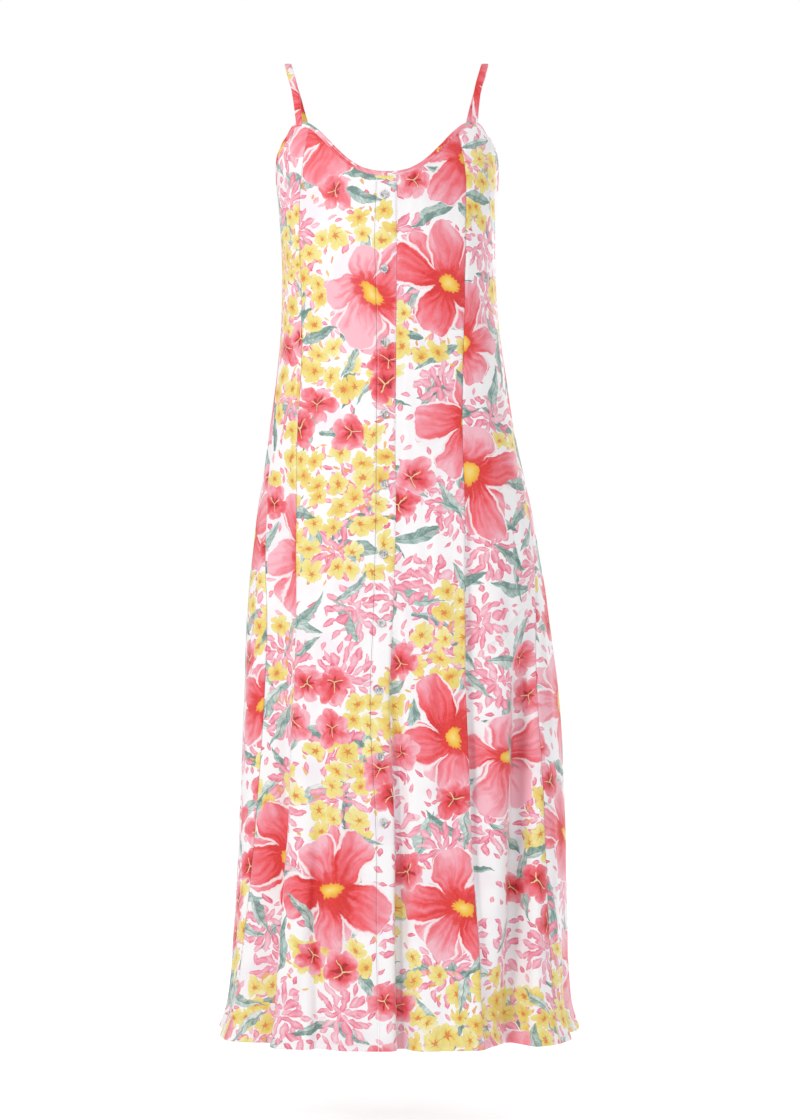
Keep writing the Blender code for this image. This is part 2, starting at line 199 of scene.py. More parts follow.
def angle_at(across, drop):
    """Degrees from the centre front of places between the seams."""
    across, drop = np.broadcast_arrays(np.asarray(across, float), np.asarray(drop, float))
    turns = np.floor(across / SEAM_COUNT)
    across = across - turns * SEAM_COUNT
    panel = across.astype(int)
    lines = [curve_through(SEAMS, drop / MM, 1 + seam) for seam in range(SEAM_COUNT)]
    lines = np.stack(lines + [lines[0] + 360])
    first = np.take_along_axis(lines, panel[None], 0)[0]
    last = np.take_along_axis(lines, panel[None] + 1, 0)[0]
    return first + (last - first) * (across - panel) + 360 * turns


def section_point(angle, drop):
    """Points of the plain section, before any fold."""
    half_width, front, back, sway, power = (
        curve_through(SECTIONS, drop / MM, column) for column in range(1, 6)
    )
    sideways, forwards = np.sin(np.radians(angle)), np.cos(np.radians(angle))
    depth = np.where(forwards > 0, front, back)
    reach = (np.abs(sideways / half_width) ** power + np.abs(forwards / depth) ** power) ** (
        -1 / power
    )
    return np.stack([sway + reach * sideways, -reach * forwards, -drop / MM], -1) * MM


# %% The surface with its main folds
ANGLE_STEP = 0.2
ACROSS_STEP = 0.004
DROP_STEP = 0.002


def fold_depth(fold, drop):
    """How deep a fold is at these drops, in metres."""
    start, middle, hem = fold[0] * MM, fold[4] * MM, fold[5] * MM
    if start >= FOLD_MIDDLE_DROP:
        return hem * smooth_step((drop - start) / (HEM_DROP - start))
    upper = middle * smooth_step((drop - start) / (FOLD_MIDDLE_DROP - start))
    part = (drop - FOLD_MIDDLE_DROP) / (HEM_DROP - FOLD_MIDDLE_DROP)
    return np.where(drop < FOLD_MIDDLE_DROP, upper, middle + (hem - middle) * part)


def surface_point(across, drop):
    """Points on the outside of the cloth."""
    across, drop = np.broadcast_arrays(np.asarray(across, float), np.asarray(drop, float))
    angle = angle_at(across, drop)
    point = section_point(angle, drop)
    sideways = unit(section_point(angle + ANGLE_STEP, drop) - section_point(angle - ANGLE_STEP, drop))
    outward = np.stack([sideways[..., 1], -sideways[..., 0], np.zeros_like(drop)], -1)
    for fold in FOLDS:
        start, across_start, across_hem, width, _, hem_depth, lean = fold
        run = (drop - start * MM) / (HEM_DROP - start * MM)
        centre = angle_at(across_start + (across_hem - across_start) * np.clip(run, 0, 1), drop)
        dent = fold_depth(fold, drop) * np.exp(-((wrapped(angle - centre) / width) ** 2))
        point = point - outward * dent[..., None]
        point = point + sideways * (dent * lean / hem_depth)[..., None]
    return point


def surface_frame(across, drop):
    """Points, the way along the section, and the way out of the cloth."""
    along = unit(surface_point(across + ACROSS_STEP, drop) - surface_point(across - ACROSS_STEP, drop))
    down = surface_point(across, drop + DROP_STEP) - surface_point(across, drop - DROP_STEP)
    return surface_point(across, drop), along, unit(np.cross(down, along))


# %% The top edge


def scoop(share, apex, low, powers):
    """The drop of a neckline at a share of the way from its lowest place to its end."""
    return apex + (low - apex) * np.clip(1 - share ** powers[0], 0, 1) ** powers[1]


def top_drop(angle):
    """How far below the strap tops the cloth starts, under the binding."""
    angle = wrapped(np.asarray(angle, float))
    arm = np.where(angle < 0, curve_through(ARMHOLE, -angle, 1), curve_through(ARMHOLE, angle, 2))
    angle = np.abs(angle)
    front_end = FRONT_APEX_ANGLE - APEX_HALF_ANGLE
    back_end = BACK_APEX_ANGLE + APEX_HALF_ANGLE
    front = scoop(angle / front_end, ARMHOLE[0, 1], FRONT_NECK_DROP, FRONT_SCOOP_POWERS)
    behind = (180 - angle) / (180 - back_end)
    back = scoop(behind, ARMHOLE[-1, 1], BACK_NECK_DROP, BACK_SCOOP_POWERS)
    edge = np.where(angle < front_end, front, np.where(angle > back_end, back, arm))
    return edge * MM + BINDING_HEIGHT + SEAM_GAP


def top_drop_across(across):
    return top_drop(angle_at(across, TOP_SEAM_DROP))


def placket_lift(across):
    """The lapped band is one wall and a gap above the panel under it."""
    return LAP * smooth_step((across - (2 - LAP_RAMP)) / LAP_RAMP)


print("hem reaches across", np.ptp(surface_point(np.linspace(0, 6, 400), HEM_DROP)[:, 0]).round(3), "m")

# %% [markdown]
# The main folds are in the solids. The smaller creases of a light cloth are listed here:
# each is a soft line from one place to another that fades at both ends. They are uneven
# in length, depth and spacing, as cloth is: short drag lines slant from the bust and
# waist, and long shallow ripples run down the skirt, in front and behind.

# %% Creases, listed one by one
CREASES = (
    # angle_start, drop_start, angle_end, drop_end, width_mm, depth_mm (a ridge is negative)
    (-72, 196, -46, 262, 7, 1.3),
    (-78, 232, -50, 282, 9, 1.1),
    (-70, 262, -40, 300, 8, -0.9),
    (-80, 312, -52, 352, 8, 1.2),
    (-76, 348, -44, 372, 7, -1.0),
    (-82, 380, -50, 402, 9, 1.4),
    (-60, 410, -26, 440, 8, 0.9),
    (-34, 300, -27, 420, 10, 1.2),
    (-22, 330, -20, 470, 11, -1.0),
    (-47, 330, -43, 500, 10, 1.3),
    (73, 190, 47, 254, 7, 1.3),
    (79, 226, 52, 286, 8, 1.0),
    (68, 268, 38, 296, 8, -0.9),
    (81, 306, 54, 344, 9, 1.3),
    (75, 342, 45, 378, 8, 1.0),
    (80, 386, 49, 398, 8, -1.1),
    (62, 404, 30, 446, 9, 1.1),
    (24, 320, 22, 452, 11, 1.2),
    (35, 350, 31, 500, 9, -0.9),
    (15, 230, 13, 330, 9, 0.8),
    (-18, 205, -15, 300, 9, 0.7),
    (-66, 500, -62, 1400, 12, 3.6),
    (-60, 880, -57, 1100, 5, 3.2),
    (-52, 640, -43, 1400, 16, -3.8),
    (-38.5, 1020, -35, 1260, 6, 3.0),
    (-30, 520, -33, 900, 17, 2.9),
    (-22, 600, -26, 1010, 15, -2.8),
    (-41, 560, -40, 1080, 12, 3.0),
    (-33, 860, -30, 1400, 15, -3.6),
    (-19, 760, -21, 1400, 13, 3.2),
    (-26, 930, -25, 1400, 9, 2.7),
    (-12, 700, -13, 1200, 14, -2.2),
    (-2.5, 880, 3, 1500, 8, 6.0),
    (8, 560, 6, 1040, 14, 2.5),
    (13, 600, 12, 1400, 15, -3.6),
    (19, 700, 20, 1400, 12, 3.7),
    (25, 620, 26, 1400, 14, -3.2),
    (47, 510, 31, 1230, 9, 4.2),
    (53, 560, 37, 1420, 15, -3.8),
    (57, 700, 50, 1200, 10, 4.2),
    (58, 860, 39.5, 1760, 15, 6.5),
    (62.5, 860, 44, 1760, 8, -4.5),
    (69, 580, 48, 1420, 11, -3.4),
    (-62, 480, -58, 760, 10, 1.3),
    (104, 210, 128, 268, 9, 1.1),
    (108, 262, 140, 300, 9, -1.0),
    (100, 330, 134, 366, 9, 1.4),
    (104, 374, 146, 396, 10, 1.2),
    (112, 412, 150, 424, 9, -1.1),
    (150, 190, 156, 330, 13, 1.4),
    (168, 250, 170, 430, 12, -1.1),
    (-104, 214, -130, 276, 9, 1.1),
    (-100, 300, -136, 342, 9, 1.3),
    (-106, 352, -144, 384, 10, -1.2),
    (-102, 392, -138, 418, 9, 1.3),
    (-152, 200, -158, 352, 13, 1.3),
    (-172, 240, -170, 400, 12, 1.0),
    (178, 400, 176, 560, 14, 1.6),
    (120, 560, 122, 1400, 13, 3.2),
    (138, 620, 136, 1400, 15, -3.6),
    (156, 700, 158, 1400, 12, 3.4),
    (174, 640, 176, 1400, 14, -3.0),
    (-166, 720, -164, 1400, 12, 3.6),
    (-148, 600, -150, 1400, 15, -3.2),
    (-128, 680, -127, 1400, 13, 3.4),
    (-110, 620, -112, 1400, 12, -2.6),
)
CREASE_REACH = 175


def crease_relief(angle, drop):
    """The height that the listed creases add, in metres."""
    relief = np.zeros_like(drop)
    per_degree = math.radians(1) * CREASE_REACH
    for angle_start, drop_start, angle_end, drop_end, width, depth in CREASES:
        across_mm = wrapped(angle - angle_start) * per_degree
        down_mm = drop / MM - drop_start
        line = np.array([(angle_end - angle_start) * per_degree, drop_end - drop_start])
        length = np.hypot(*line)
        line = line / length
        part = (across_mm * line[0] + down_mm * line[1]) / length
        aside = -across_mm * line[1] + down_mm * line[0]
        fade = np.sin(np.pi * np.clip(part, 0, 1)) ** 1.5
        relief -= depth * MM * fade * np.exp(-((aside / width) ** 2))
    return relief


# %% Broad, weak waves that keep the cloth from looking machined
WAVES = (
    # turns round the dress, turns down it, start, height_top_mm, height_hem_mm
    (23, 1.3, 0.4, 0.15, 1.4),
    (31, -2.1, 1.9, 0.12, 1.1),
    (47, 3.7, 3.1, 0.10, 0.6),
    (9, 9.0, 0.8, 0.22, 0.25),
    (17, -13.0, 2.2, 0.16, 0.2),
    (61, 17.0, 5.0, 0.07, 0.12),
)
WAVE_START_DROP = 0.45


def wave_relief(angle, drop):
    relief = np.zeros_like(drop)
    fall = np.clip((drop - WAVE_START_DROP) / (HEM_DROP - WAVE_START_DROP), 0, 1)
    for around, down, start, top, hem in WAVES:
        turn = np.radians(angle) * around + drop / HEM_DROP * 2 * np.pi * down + start
        relief += np.sin(turn) * (top + (hem - top) * fall) * MM
    return relief


print("creases:", len(CREASES))

# %% [markdown]
# Each panel becomes a grid mesh. Its columns are spread evenly along the cloth, closer
# together at the edges where the seam rolls in, and its rows are closer in the bodice.
# The grid also carries a UV map in metres of flat cloth: sideways it is the length along
# the folds, so the print runs into a fold and out again, as it does on the real dress.
# Each panel starts at its own place in the print, which breaks the pattern at the seams.
# The band alone carries on from the panel beside it, because a band of this kind is that
# panel's own edge, folded and stitched. Both fronts have their straight grain there.

# %% Spreading columns and rows
EDGE_PITCH = 0.0011
EDGE_REACH = 0.0045
SPREAD_SAMPLES = 4000
PANEL_SAMPLES = 1500
MEASURED_DROPS = (0.45, 0.90, 1.20, 1.34)
BODICE_DROP = 0.55
BODICE_LENGTH = 0.43


def run_along(points, axis=0):
    """How far each point lies along a line of points, measured from the first."""
    step = np.linalg.norm(np.diff(points, axis=axis), axis=-1)
    return np.concatenate([0 * step[..., :1], np.cumsum(step, -1)], -1)


def spread(length, pitch, fine_start, fine_end):
    """Places along a length, from 0 to its end, closer together at the ends asked for."""
    place = np.linspace(0, length, SPREAD_SAMPLES)
    density = np.full_like(place, 1 / pitch)
    for wanted, reach in ((fine_start, place), (fine_end, length - place)):
        density += wanted * np.exp(-((reach / EDGE_REACH) ** 2)) / EDGE_PITCH
    count = np.concatenate([[0], np.cumsum((density[1:] + density[:-1]) / 2 * np.diff(place))])
    return np.interp(np.linspace(0, count[-1], int(round(count[-1])) + 1), count, place)


def columns_between(first, last, pitch):
    """Places across a panel, evenly spread along the cloth from the waist to the hem."""
    across = np.linspace(first, last, PANEL_SAMPLES)
    runs = [run_along(surface_point(across, drop)) for drop in MEASURED_DROPS]
    run = sum(runs) / len(runs)
    return np.interp(spread(run[-1], pitch, True, True), run, across)


def rows_down(pitch_bodice, pitch_skirt):
    """Parts of the way down from the top edge to the hem."""
    bodice = spread(BODICE_LENGTH, pitch_bodice, True, False)
    skirt = spread(HEM_DROP - BODICE_DROP, pitch_skirt, False, True)
    drops = np.concatenate([bodice, BODICE_LENGTH + skirt[1:]])
    return drops / drops[-1]


# %% Where the buttons pull on the band
BUTTON_COUNT = 10
BUTTON_ACROSS = 2.42
FIRST_BUTTON_DROP = 0.199
FIRST_BUTTON_SPACING = 0.1008
BUTTON_SPACING_LOSS = 0.00165


def button_drop(number):
    """The spacing shortens a little from each button to the next."""
    shortening = BUTTON_SPACING_LOSS * number * (number - 1) / 2
    return FIRST_BUTTON_DROP + number * FIRST_BUTTON_SPACING - shortening


# %% The panels
PANELS = (
    # name, first seam, last seam, column pitch, row pitches, straight grain, print shift
    ("side_front_right", 0, 1, 0.0040, (0.0045, 0.0060), 0.5, (0.118, 0.262)),
    ("front_right", 1, 2, 0.0036, (0.0040, 0.0055), 1.0, (0.431, 0.117)),
    ("button_placket", 2, 3, 0.0030, (0.0040, 0.0055), 0.0, (0.431, 0.117)),
    ("front_left", 2, 4, 0.0036, (0.0040, 0.0055), 0.0, (1.276, 0.331)),
    ("side_front_left", 4, 5, 0.0040, (0.0045, 0.0060), 0.5, (1.653, 0.574)),
    ("back", 5, 6, 0.0054, (0.0060, 0.0080), 0.5, (2.408, 0.049)),
)
SEAM_ROLL = 0.0011
SEAM_ROLL_REACH = 0.0021
BAND_SEAM_ROLL = 0.4
BAND_EASE = 0.0007
HEM_DEPTH = 0.010
HEM_RISE = 0.00045
CLOTH = 0.0006
BAND = 0.0011
LAP_STARTS = (1.75, 0.20)
LAP_ENDS = (3.00, 0.12)
LAP_STIFFNESS = 0.75
QUIET_TOP = 0.03
HEM_FOLD = 0.0012
HEM_ROLL = 0.0005
HEM_ROLL_REACH = 0.0009
FIRST_LEVEL = 0.09
LEVELS = 70


def sideways_length(points, grain):
    """How far each column lies along the cloth from the column with the straight grain."""
    run = run_along(points, 1)
    return run - run[:, round(grain * (run.shape[1] - 1))][:, None]


def panel_relief(name, across, drop, aside):
    """Creases, the band's ease between buttons, the seams' rolled edges, the hem's turn."""
    angle = angle_at(across, drop)
    relief = crease_relief(angle, drop) + wave_relief(angle, drop)
    if name in ("button_placket", "front_left", "front_right"):
        lap = smooth_step((across - LAP_STARTS[0]) / LAP_STARTS[1])
        lap = lap * smooth_step((LAP_ENDS[0] + LAP_ENDS[1] - across) / LAP_ENDS[1])
        phase = np.interp(drop, [button_drop(n) for n in range(BUTTON_COUNT)], range(BUTTON_COUNT))
        relief = relief * (1 - LAP_STIFFNESS * lap)
        relief = relief + BAND_EASE * lap * np.sin(np.pi * phase) ** 2
    relief = relief * smooth_step((drop - top_drop_across(across)) / QUIET_TOP)
    left_roll = BAND_SEAM_ROLL if name == "button_placket" else 1
    right_roll = BAND_SEAM_ROLL if name == "front_right" else 1
    for edge, roll in ((aside - aside[:, :1], left_roll), (aside[:, -1:] - aside, right_roll)):
        relief = relief - roll * SEAM_ROLL * np.exp(-((edge / SEAM_ROLL_REACH) ** 2))
    above_hem = HEM_DROP - drop
    relief = relief + HEM_RISE * smooth_step((HEM_DEPTH + HEM_FOLD / 2 - above_hem) / HEM_FOLD)
    return relief - HEM_ROLL * np.exp(-((above_hem / HEM_ROLL_REACH) ** 2))


def in_scene(name, data):
    """Puts a mesh, a lamp or a camera in the scene."""
    piece = bpy.data.objects.new(name, data)
    bpy.context.scene.collection.objects.link(piece)
    return piece


def mesh_of(name, shape):
    """Turns a BMesh into a smooth mesh in the scene."""
    mesh = bpy.data.meshes.new(name)
    shape.to_mesh(mesh)
    shape.free()
    mesh.shade_smooth()
    return in_scene(name, mesh)


def thin_shell(piece, thickness):
    """Gives a sheet its wall, inwards from the face that shows."""
    shell = piece.modifiers.new("cloth", "SOLIDIFY")
    shell.thickness = thickness
    shell.offset = -1
    return shell


def grid_mesh(name, points, uv):
    """A sheet of quads that faces outwards, with its UV map in metres of cloth."""
    rows, columns = points.shape[:2]
    index = np.arange(rows * columns).reshape(rows, columns)
    faces = np.stack([index[:-1, :-1], index[1:, :-1], index[1:, 1:], index[:-1, 1:]], -1)
    mesh = bpy.data.meshes.new(name)
    mesh.from_pydata(points.reshape(-1, 3).tolist(), [], faces.reshape(-1, 4).tolist())
    layer = mesh.uv_layers.new(name="cloth")
    layer.data.foreach_set("uv", uv.reshape(-1, 2)[faces.ravel()].astype(np.float32).ravel())
    mesh.shade_smooth()
    return in_scene(name, mesh)


def flat_size(uv):
    """Width, length and area of the flat piece that the UV map describes."""
    width, length = np.ptp(uv[..., 0]), np.ptp(uv[..., 1])
    x, y = np.concatenate([uv[0], uv[1:, -1], uv[-1, -2::-1], uv[-2::-1, 0]]).T
    area = abs(np.dot(x, np.roll(y, -1)) - np.dot(y, np.roll(x, -1))) / 2
    return float(width), float(length), float(area)


def make_panel(name, first, last, pitch, row_pitches, grain, shift):
    """One cut panel as a thin sheet, with its flat size and its grid."""
    across = columns_between(first, last, pitch)[None, :]
    top = top_drop_across(across)
    drop = top + (HEM_DROP - top) * rows_down(*row_pitches)[:, None]
    across = np.broadcast_to(across, drop.shape)
    levels = np.linspace(FIRST_LEVEL, HEM_DROP, LEVELS)
    run = sideways_length(surface_point(across[:1], levels[:, None]), grain)
    aside = np.stack([np.interp(down, levels, along) for down, along in zip(drop.T, run.T)], 1)
    point, along, outward = surface_frame(across, drop)
    height = panel_relief(name, across, drop, aside)
    if name in ("front_right", "button_placket"):
        height = height + placket_lift(across)
    slide = np.zeros_like(drop)
    slide[:, 0], slide[:, -1] = SEAM_GAP / 2, -SEAM_GAP / 2
    point = point + outward * height[..., None] + along * slide[..., None]
    uv = np.stack([aside + shift[0], shift[1] - drop], -1)
    piece = grid_mesh("cloth_" + name, point, uv)
    shell = thin_shell(piece, BAND if name == "button_placket" else CLOTH)
    shell.material_offset = 1
    cloth = np.concatenate([point, outward], -1)
    return piece, flat_size(uv), {"cloth": cloth, "aside": aside, "drop": drop}


cloth_pieces, flat_sizes, grids = {}, {}, {}
for panel in PANELS:
    piece, flat, grid = make_panel(*panel)
    cloth_pieces[panel[0]], flat_sizes[panel[0]], grids[panel[0]] = piece, flat, grid
    print(panel[0], len(piece.data.polygons), "faces, flat", [round(size, 3) for size in flat])

# %% [markdown]
# The print is worked out by the shader, with no image. Each kind of motif is strewn by a
# Voronoi texture: its cells hand out a centre, three dice and a local drawing board for
# every flower, and a short formula draws the flower there. Doing this with one texture
# for each kind is far cheaper than hundreds of placed shapes, and no two flowers match.
# A small class turns ordinary arithmetic into nodes, so the formulas stay readable.

# %% Arithmetic that builds shader nodes


def paint(code):
    """A colour written as on a screen, in the linear light that nodes use."""
    levels = [int(code[place : place + 2], 16) / 255 for place in (1, 3, 5)]
    return tuple(
        level / 12.92 if level <= 0.04045 else ((level + 0.055) / 1.055) ** 2.4
        for level in levels
    ) + (1.0,)


def feed(value, socket):
    """Gives a socket a flow, a colour code or a plain value."""
    if isinstance(value, Flow):
        value.tree.links.new(value.socket, socket)
    elif socket.type == "RGBA" and isinstance(value, str):
        socket.default_value = paint(value)
    else:
        socket.default_value = value


def socket_in_use(sockets, place):
    """A socket by its number, or the one with this name that the settings leave in use."""
    if isinstance(place, int):
        return sockets[place]
    return next(socket for socket in sockets if socket.name == place and socket.enabled)


def step(tree, kind, inputs=(), **settings):
    """Adds a node, gives it its settings and feeds the inputs named or numbered."""
    node = tree.nodes.new(kind)
    for name, value in settings.items():
        setattr(node, name, value)
    for place, value in dict(inputs).items():
        feed(value, socket_in_use(node.inputs, place))
    return node


class Flow:
    """A value that flows through a node tree; arithmetic on it adds Math nodes."""

    def __init__(self, socket):
        self.socket = socket
        self.tree = socket.id_data

    def do(self, operation, *others):
        inputs = dict(enumerate((self, *others)))
        return Flow(step(self.tree, "ShaderNodeMath", inputs, operation=operation).outputs[0])

    def __add__(self, other):
        return self.do("ADD", other)

    def __sub__(self, other):
        return self.do("SUBTRACT", other)

    def __mul__(self, other):
        return self.do("MULTIPLY", other)

    def __truediv__(self, other):
        return self.do("DIVIDE", other)

    def __pow__(self, other):
        return self.do("POWER", other)

    def __abs__(self):
        return self.do("ABSOLUTE")

    def wave(self):
        return self.do("SINE")

    def flipped(self):
        """One minus the value."""
        return self.do("MULTIPLY_ADD", -1.0, 1.0)


class Spot(Flow):
    """A vector or a colour; arithmetic on it adds Vector Math nodes, and * scales it."""

    def do(self, operation, other):
        node = step(self.tree, "ShaderNodeVectorMath", operation=operation)
        feed(self, node.inputs[0])
        feed(other, node.inputs["Scale"] if operation == "SCALE" else node.inputs[1])
        return Spot(node.outputs["Vector"])

    def __mul__(self, other):
        return self.do("SCALE", other)

    def parts(self):
        node = step(self.tree, "ShaderNodeSeparateXYZ", {0: self})
        return [Flow(socket) for socket in node.outputs]

    def dice(self):
        """Three numbers from 0 to 1 out of a random colour."""
        node = step(self.tree, "ShaderNodeSeparateColor", {0: self})
        return [Flow(socket) for socket in node.outputs]


def tree_of(*values):
    return next(value.tree for value in values if isinstance(value, Flow))


def joined(*parts):
    node = step(tree_of(*parts), "ShaderNodeCombineXYZ", enumerate(parts))
    return Spot(node.outputs[0])


def smooth(value, low, high):
    """0 at low and below, 1 at high and above, with soft ends; low may be the larger."""
    inputs = {"Value": value, "From Min": low, "From Max": high}
    node = step(value.tree, "ShaderNodeMapRange", inputs, interpolation_type="SMOOTHSTEP")
    return Flow(node.outputs["Result"])


def noise(place, size, detail=2.0, dimensions="2D"):
    """A soft noise from 0 to 1 whose blots are about this size, and its three colours."""
    inputs = {"Vector": place, "Scale": 1 / size, "Detail": detail}
    node = step(place.tree, "ShaderNodeTexNoise", inputs, noise_dimensions=dimensions)
    return Flow(node.outputs["Fac"]), Spot(node.outputs["Color"])


def over(cover, below, above):
    """Paints above over below where cover is 1."""
    inputs = {"Factor": cover, "A": below, "B": above}
    node = step(tree_of(cover, below, above), "ShaderNodeMix", inputs, data_type="RGBA")
    return Spot(socket_in_use(node.outputs, "Result"))


def wash(value, *stops):
    """A run of colours along a value, given as places and codes."""
    node = step(value.tree, "ShaderNodeValToRGB", {0: value})
    marks = node.color_ramp.elements
    while len(marks) < len(stops):
        marks.new(1.0)
    for mark, (place, code) in zip(marks, stops):
        mark.position = place
        mark.color = paint(code)
    return Spot(node.outputs[0])


# %% [markdown]
# The sizes below are millimetres of flat cloth. The real print has broad coral flowers
# about the size of a hand, smaller red ones with dark throats, little yellow ones in
# clouds, sprays of pink petals and grey-green leaves. The motifs here are ordinary ones
# of those colours and sizes, laid out afresh, in the same loose watercolour manner.

# %% Strewing motifs
WHOLE_TURN = 2 * math.pi
BIG_CELL = 206
BIG_KEPT = 0.56
BIG_WANDER = 0.4
BIG_SHIFT = (61.0, 23.0, 0.0)
PATCH = 104.0


def cells(place, wander=1.0):
    """Cells one unit wide: how far the nearest spot is, its three dice and its place."""
    inputs = {"Vector": place, "Scale": 1.0, "Randomness": wander}
    node = step(place.tree, "ShaderNodeTexVoronoi", inputs, voronoi_dimensions="2D")
    dice = Spot(node.outputs["Color"]).dice()
    return Flow(node.outputs["Distance"]), dice, Spot(node.outputs["Position"])


def kept_by(rule, home, dice):
    """1 for a motif whose patch has the right number and that no broad flower crowds."""
    low, high, keep, clear = rule
    _, (patch, _, _), _ = cells(home * (1 / PATCH))
    distance, (_, big, _), _ = cells((home + BIG_SHIFT) * (1 / BIG_CELL), BIG_WANDER)
    free = distance.do("GREATER_THAN", clear / BIG_CELL)
    free = free.do("MAXIMUM", big.do("GREATER_THAN", BIG_KEPT))
    kept = patch.do("GREATER_THAN", low) * patch.do("LESS_THAN", high) * free
    return kept * dice[1].do("LESS_THAN", keep)


def strew(place, cell, wander, shift, rule=None):
    """A drawing board round the nearest spot: x, y, three dice, and 1 if it is kept."""
    scaled = (place + shift) * (1 / cell)
    _, dice, spot = cells(scaled, wander)
    inputs = {"Vector": (scaled - spot) * cell, "Angle": dice[0] * WHOLE_TURN}
    turned = step(place.tree, "ShaderNodeVectorRotate", inputs, rotation_type="Z_AXIS")
    x, y, _ = Spot(turned.outputs[0]).parts()
    return x, y, dice, rule and kept_by(rule, spot * cell - shift, dice)


def polar(x, y):
    return (x * x + y * y) ** 0.5, y.do("ARCTAN2", x)


def sectors(bearing, count, start):
    """Parts of the way round a centre: -0.5 to 0.5 across each one, and its number."""
    turns = bearing * (count / WHOLE_TURN) + start
    whole = turns.do("FLOOR")
    return turns - whole - 0.5, whole.do("FLOORED_MODULO", float(count))


def cast(number):
    """A node that deals the same dice each time the same number comes up."""
    return step(number.tree, "ShaderNodeTexWhiteNoise", {"W": number}, noise_dimensions="1D")


def petal_ring(distance, bearing, count, reach, half_width, start, belly):
    """Petals round a centre: where they are, how far out, how far aside, and a die each."""
    swing, number = sectors(bearing, count, start * 11.0)
    die = Flow(cast(number + start * 57.0).outputs["Value"])
    along = distance / (die * (-0.26 * reach) + reach)
    rise, blunt, close = belly
    width = (along**rise) * ((along**blunt).flipped().do("MAXIMUM", 0.0) ** close) * half_width
    aside = abs(swing) * distance * (WHOLE_TURN / count) / width.do("MAXIMUM", 0.01)
    return smooth(aside, 1.04, 0.94), along, aside, swing, die


# %% The broad coral flower
BIG_REACH = 97
BIG_BEND = 42
HALF = (0.5, 0.5, 0.5)
CORAL = (
    (0.0, "#E0282B"), (0.15, "#EF4448"), (0.33, "#F45F6A"),
    (0.52, "#F67B88"), (0.74, "#F897A6"), (1.0, "#FBBDCA"),
)


def coral_petals(below, board, *ring):
    """One ring of broad, streaked petals over what lies below, with a white slit between."""
    distance, bearing, fibres, kept, warmth = board
    inside, along, aside, swing, die = petal_ring(distance, bearing, *ring)
    streak, _ = noise(joined(swing * 9.0 + die * 31.0, along * 1.7, 0.0), 1.0, 3.0)
    tone = along + (streak - 0.5) * 0.95 + die * 0.34 - 0.17 + (fibres - 0.5) * 0.3
    tone = tone - smooth(aside, 0.66, 0.98) * 0.16 + warmth * 0.34 - 0.14
    slit = smooth(aside, 1.22, 1.1) * kept * smooth(along, 0.2, 0.34)
    below = over(slit * 0.9, below, "#FEF4F7")
    return over(inside * kept, below, wash(tone, *CORAL))


def big_flowers(below, cloth):
    place, fibres = cloth
    _, bend = noise(place, 82.0, 1.0)
    place = place + (bend - HALF) * BIG_BEND
    x, y, dice, _ = strew(place, BIG_CELL, BIG_WANDER, BIG_SHIFT)
    distance, bearing = polar(x, y * 1.12)
    kept = dice[1].do("LESS_THAN", BIG_KEPT)
    board = (distance, bearing, fibres, kept, dice[0])
    colour = coral_petals(below, board, 7, BIG_REACH * 0.86, 21, dice[2], (0.55, 5.0, 0.5))
    colour = coral_petals(colour, board, 5, BIG_REACH, 36, dice[1], (0.66, 6.0, 0.5))
    spokes = (bearing * 9.0 + dice[1] * 20.0).wave() * 5.0
    throat = smooth(distance + spokes + (fibres - 0.5) * 20.0, 31.0, 17.0) * kept
    colour = over(throat * 0.8, colour, "#E32A22")
    eye = smooth(distance + (bearing * 14.0).wave() * 0.9 + (fibres - 0.5) * 11.0, 13.5, 11.5)
    core = wash(distance / 14.0, (0.0, "#FCE28A"), (0.55, "#FAC63F"), (1.0, "#EE9A2B"))
    return over(eye * kept, colour, core)


# %% The red flower with a dark throat
RED = (
    (0.0, "#C51C26"), (0.28, "#E53A42"), (0.5, "#F05A66"), (0.72, "#F58391"), (1.0, "#FBB9C6"),
)


def red_flowers(below, cloth, rule):
    place, fibres = cloth
    x, y, dice, kept = strew(place, 55.0, 0.56, (13.0, 91.0, 0.0), rule)
    distance, bearing = polar(x, y)
    inside, along, aside, swing, die = petal_ring(
        distance, bearing, 5, 31, 16.5, dice[1], (0.6, 5.0, 0.5)
    )
    tone = along * 0.8 + dice[2] * 0.25 + (fibres - 0.5) * 0.9 + die * 0.16 - 0.02
    seam = smooth(aside, 0.80, 1.0) * smooth(along, 0.25, 0.5)
    colour = over(seam * 0.35, wash(tone, *RED), "#FBD3DA")
    painted = over(inside * kept, below, colour)
    star = smooth(distance + abs(swing) * 26.0, 14.0, 9.5) * kept
    painted = over(star * 0.85, painted, "#A50F1C")
    threads = smooth(abs((bearing * 1.5 + dice[2] * 9.0).wave()) * distance, 1.3, 0.5)
    reach = smooth(distance, 13.5, 11.5) * kept
    return over(threads * reach * 0.9, painted, "#F9E0A6")


# %% The little yellow flower
YELLOW = (
    (0.0, "#EDB44C"), (0.26, "#F0CC62"), (0.52, "#F3DF7E"), (0.78, "#F5E896"), (1.0, "#F9F2C4"),
)


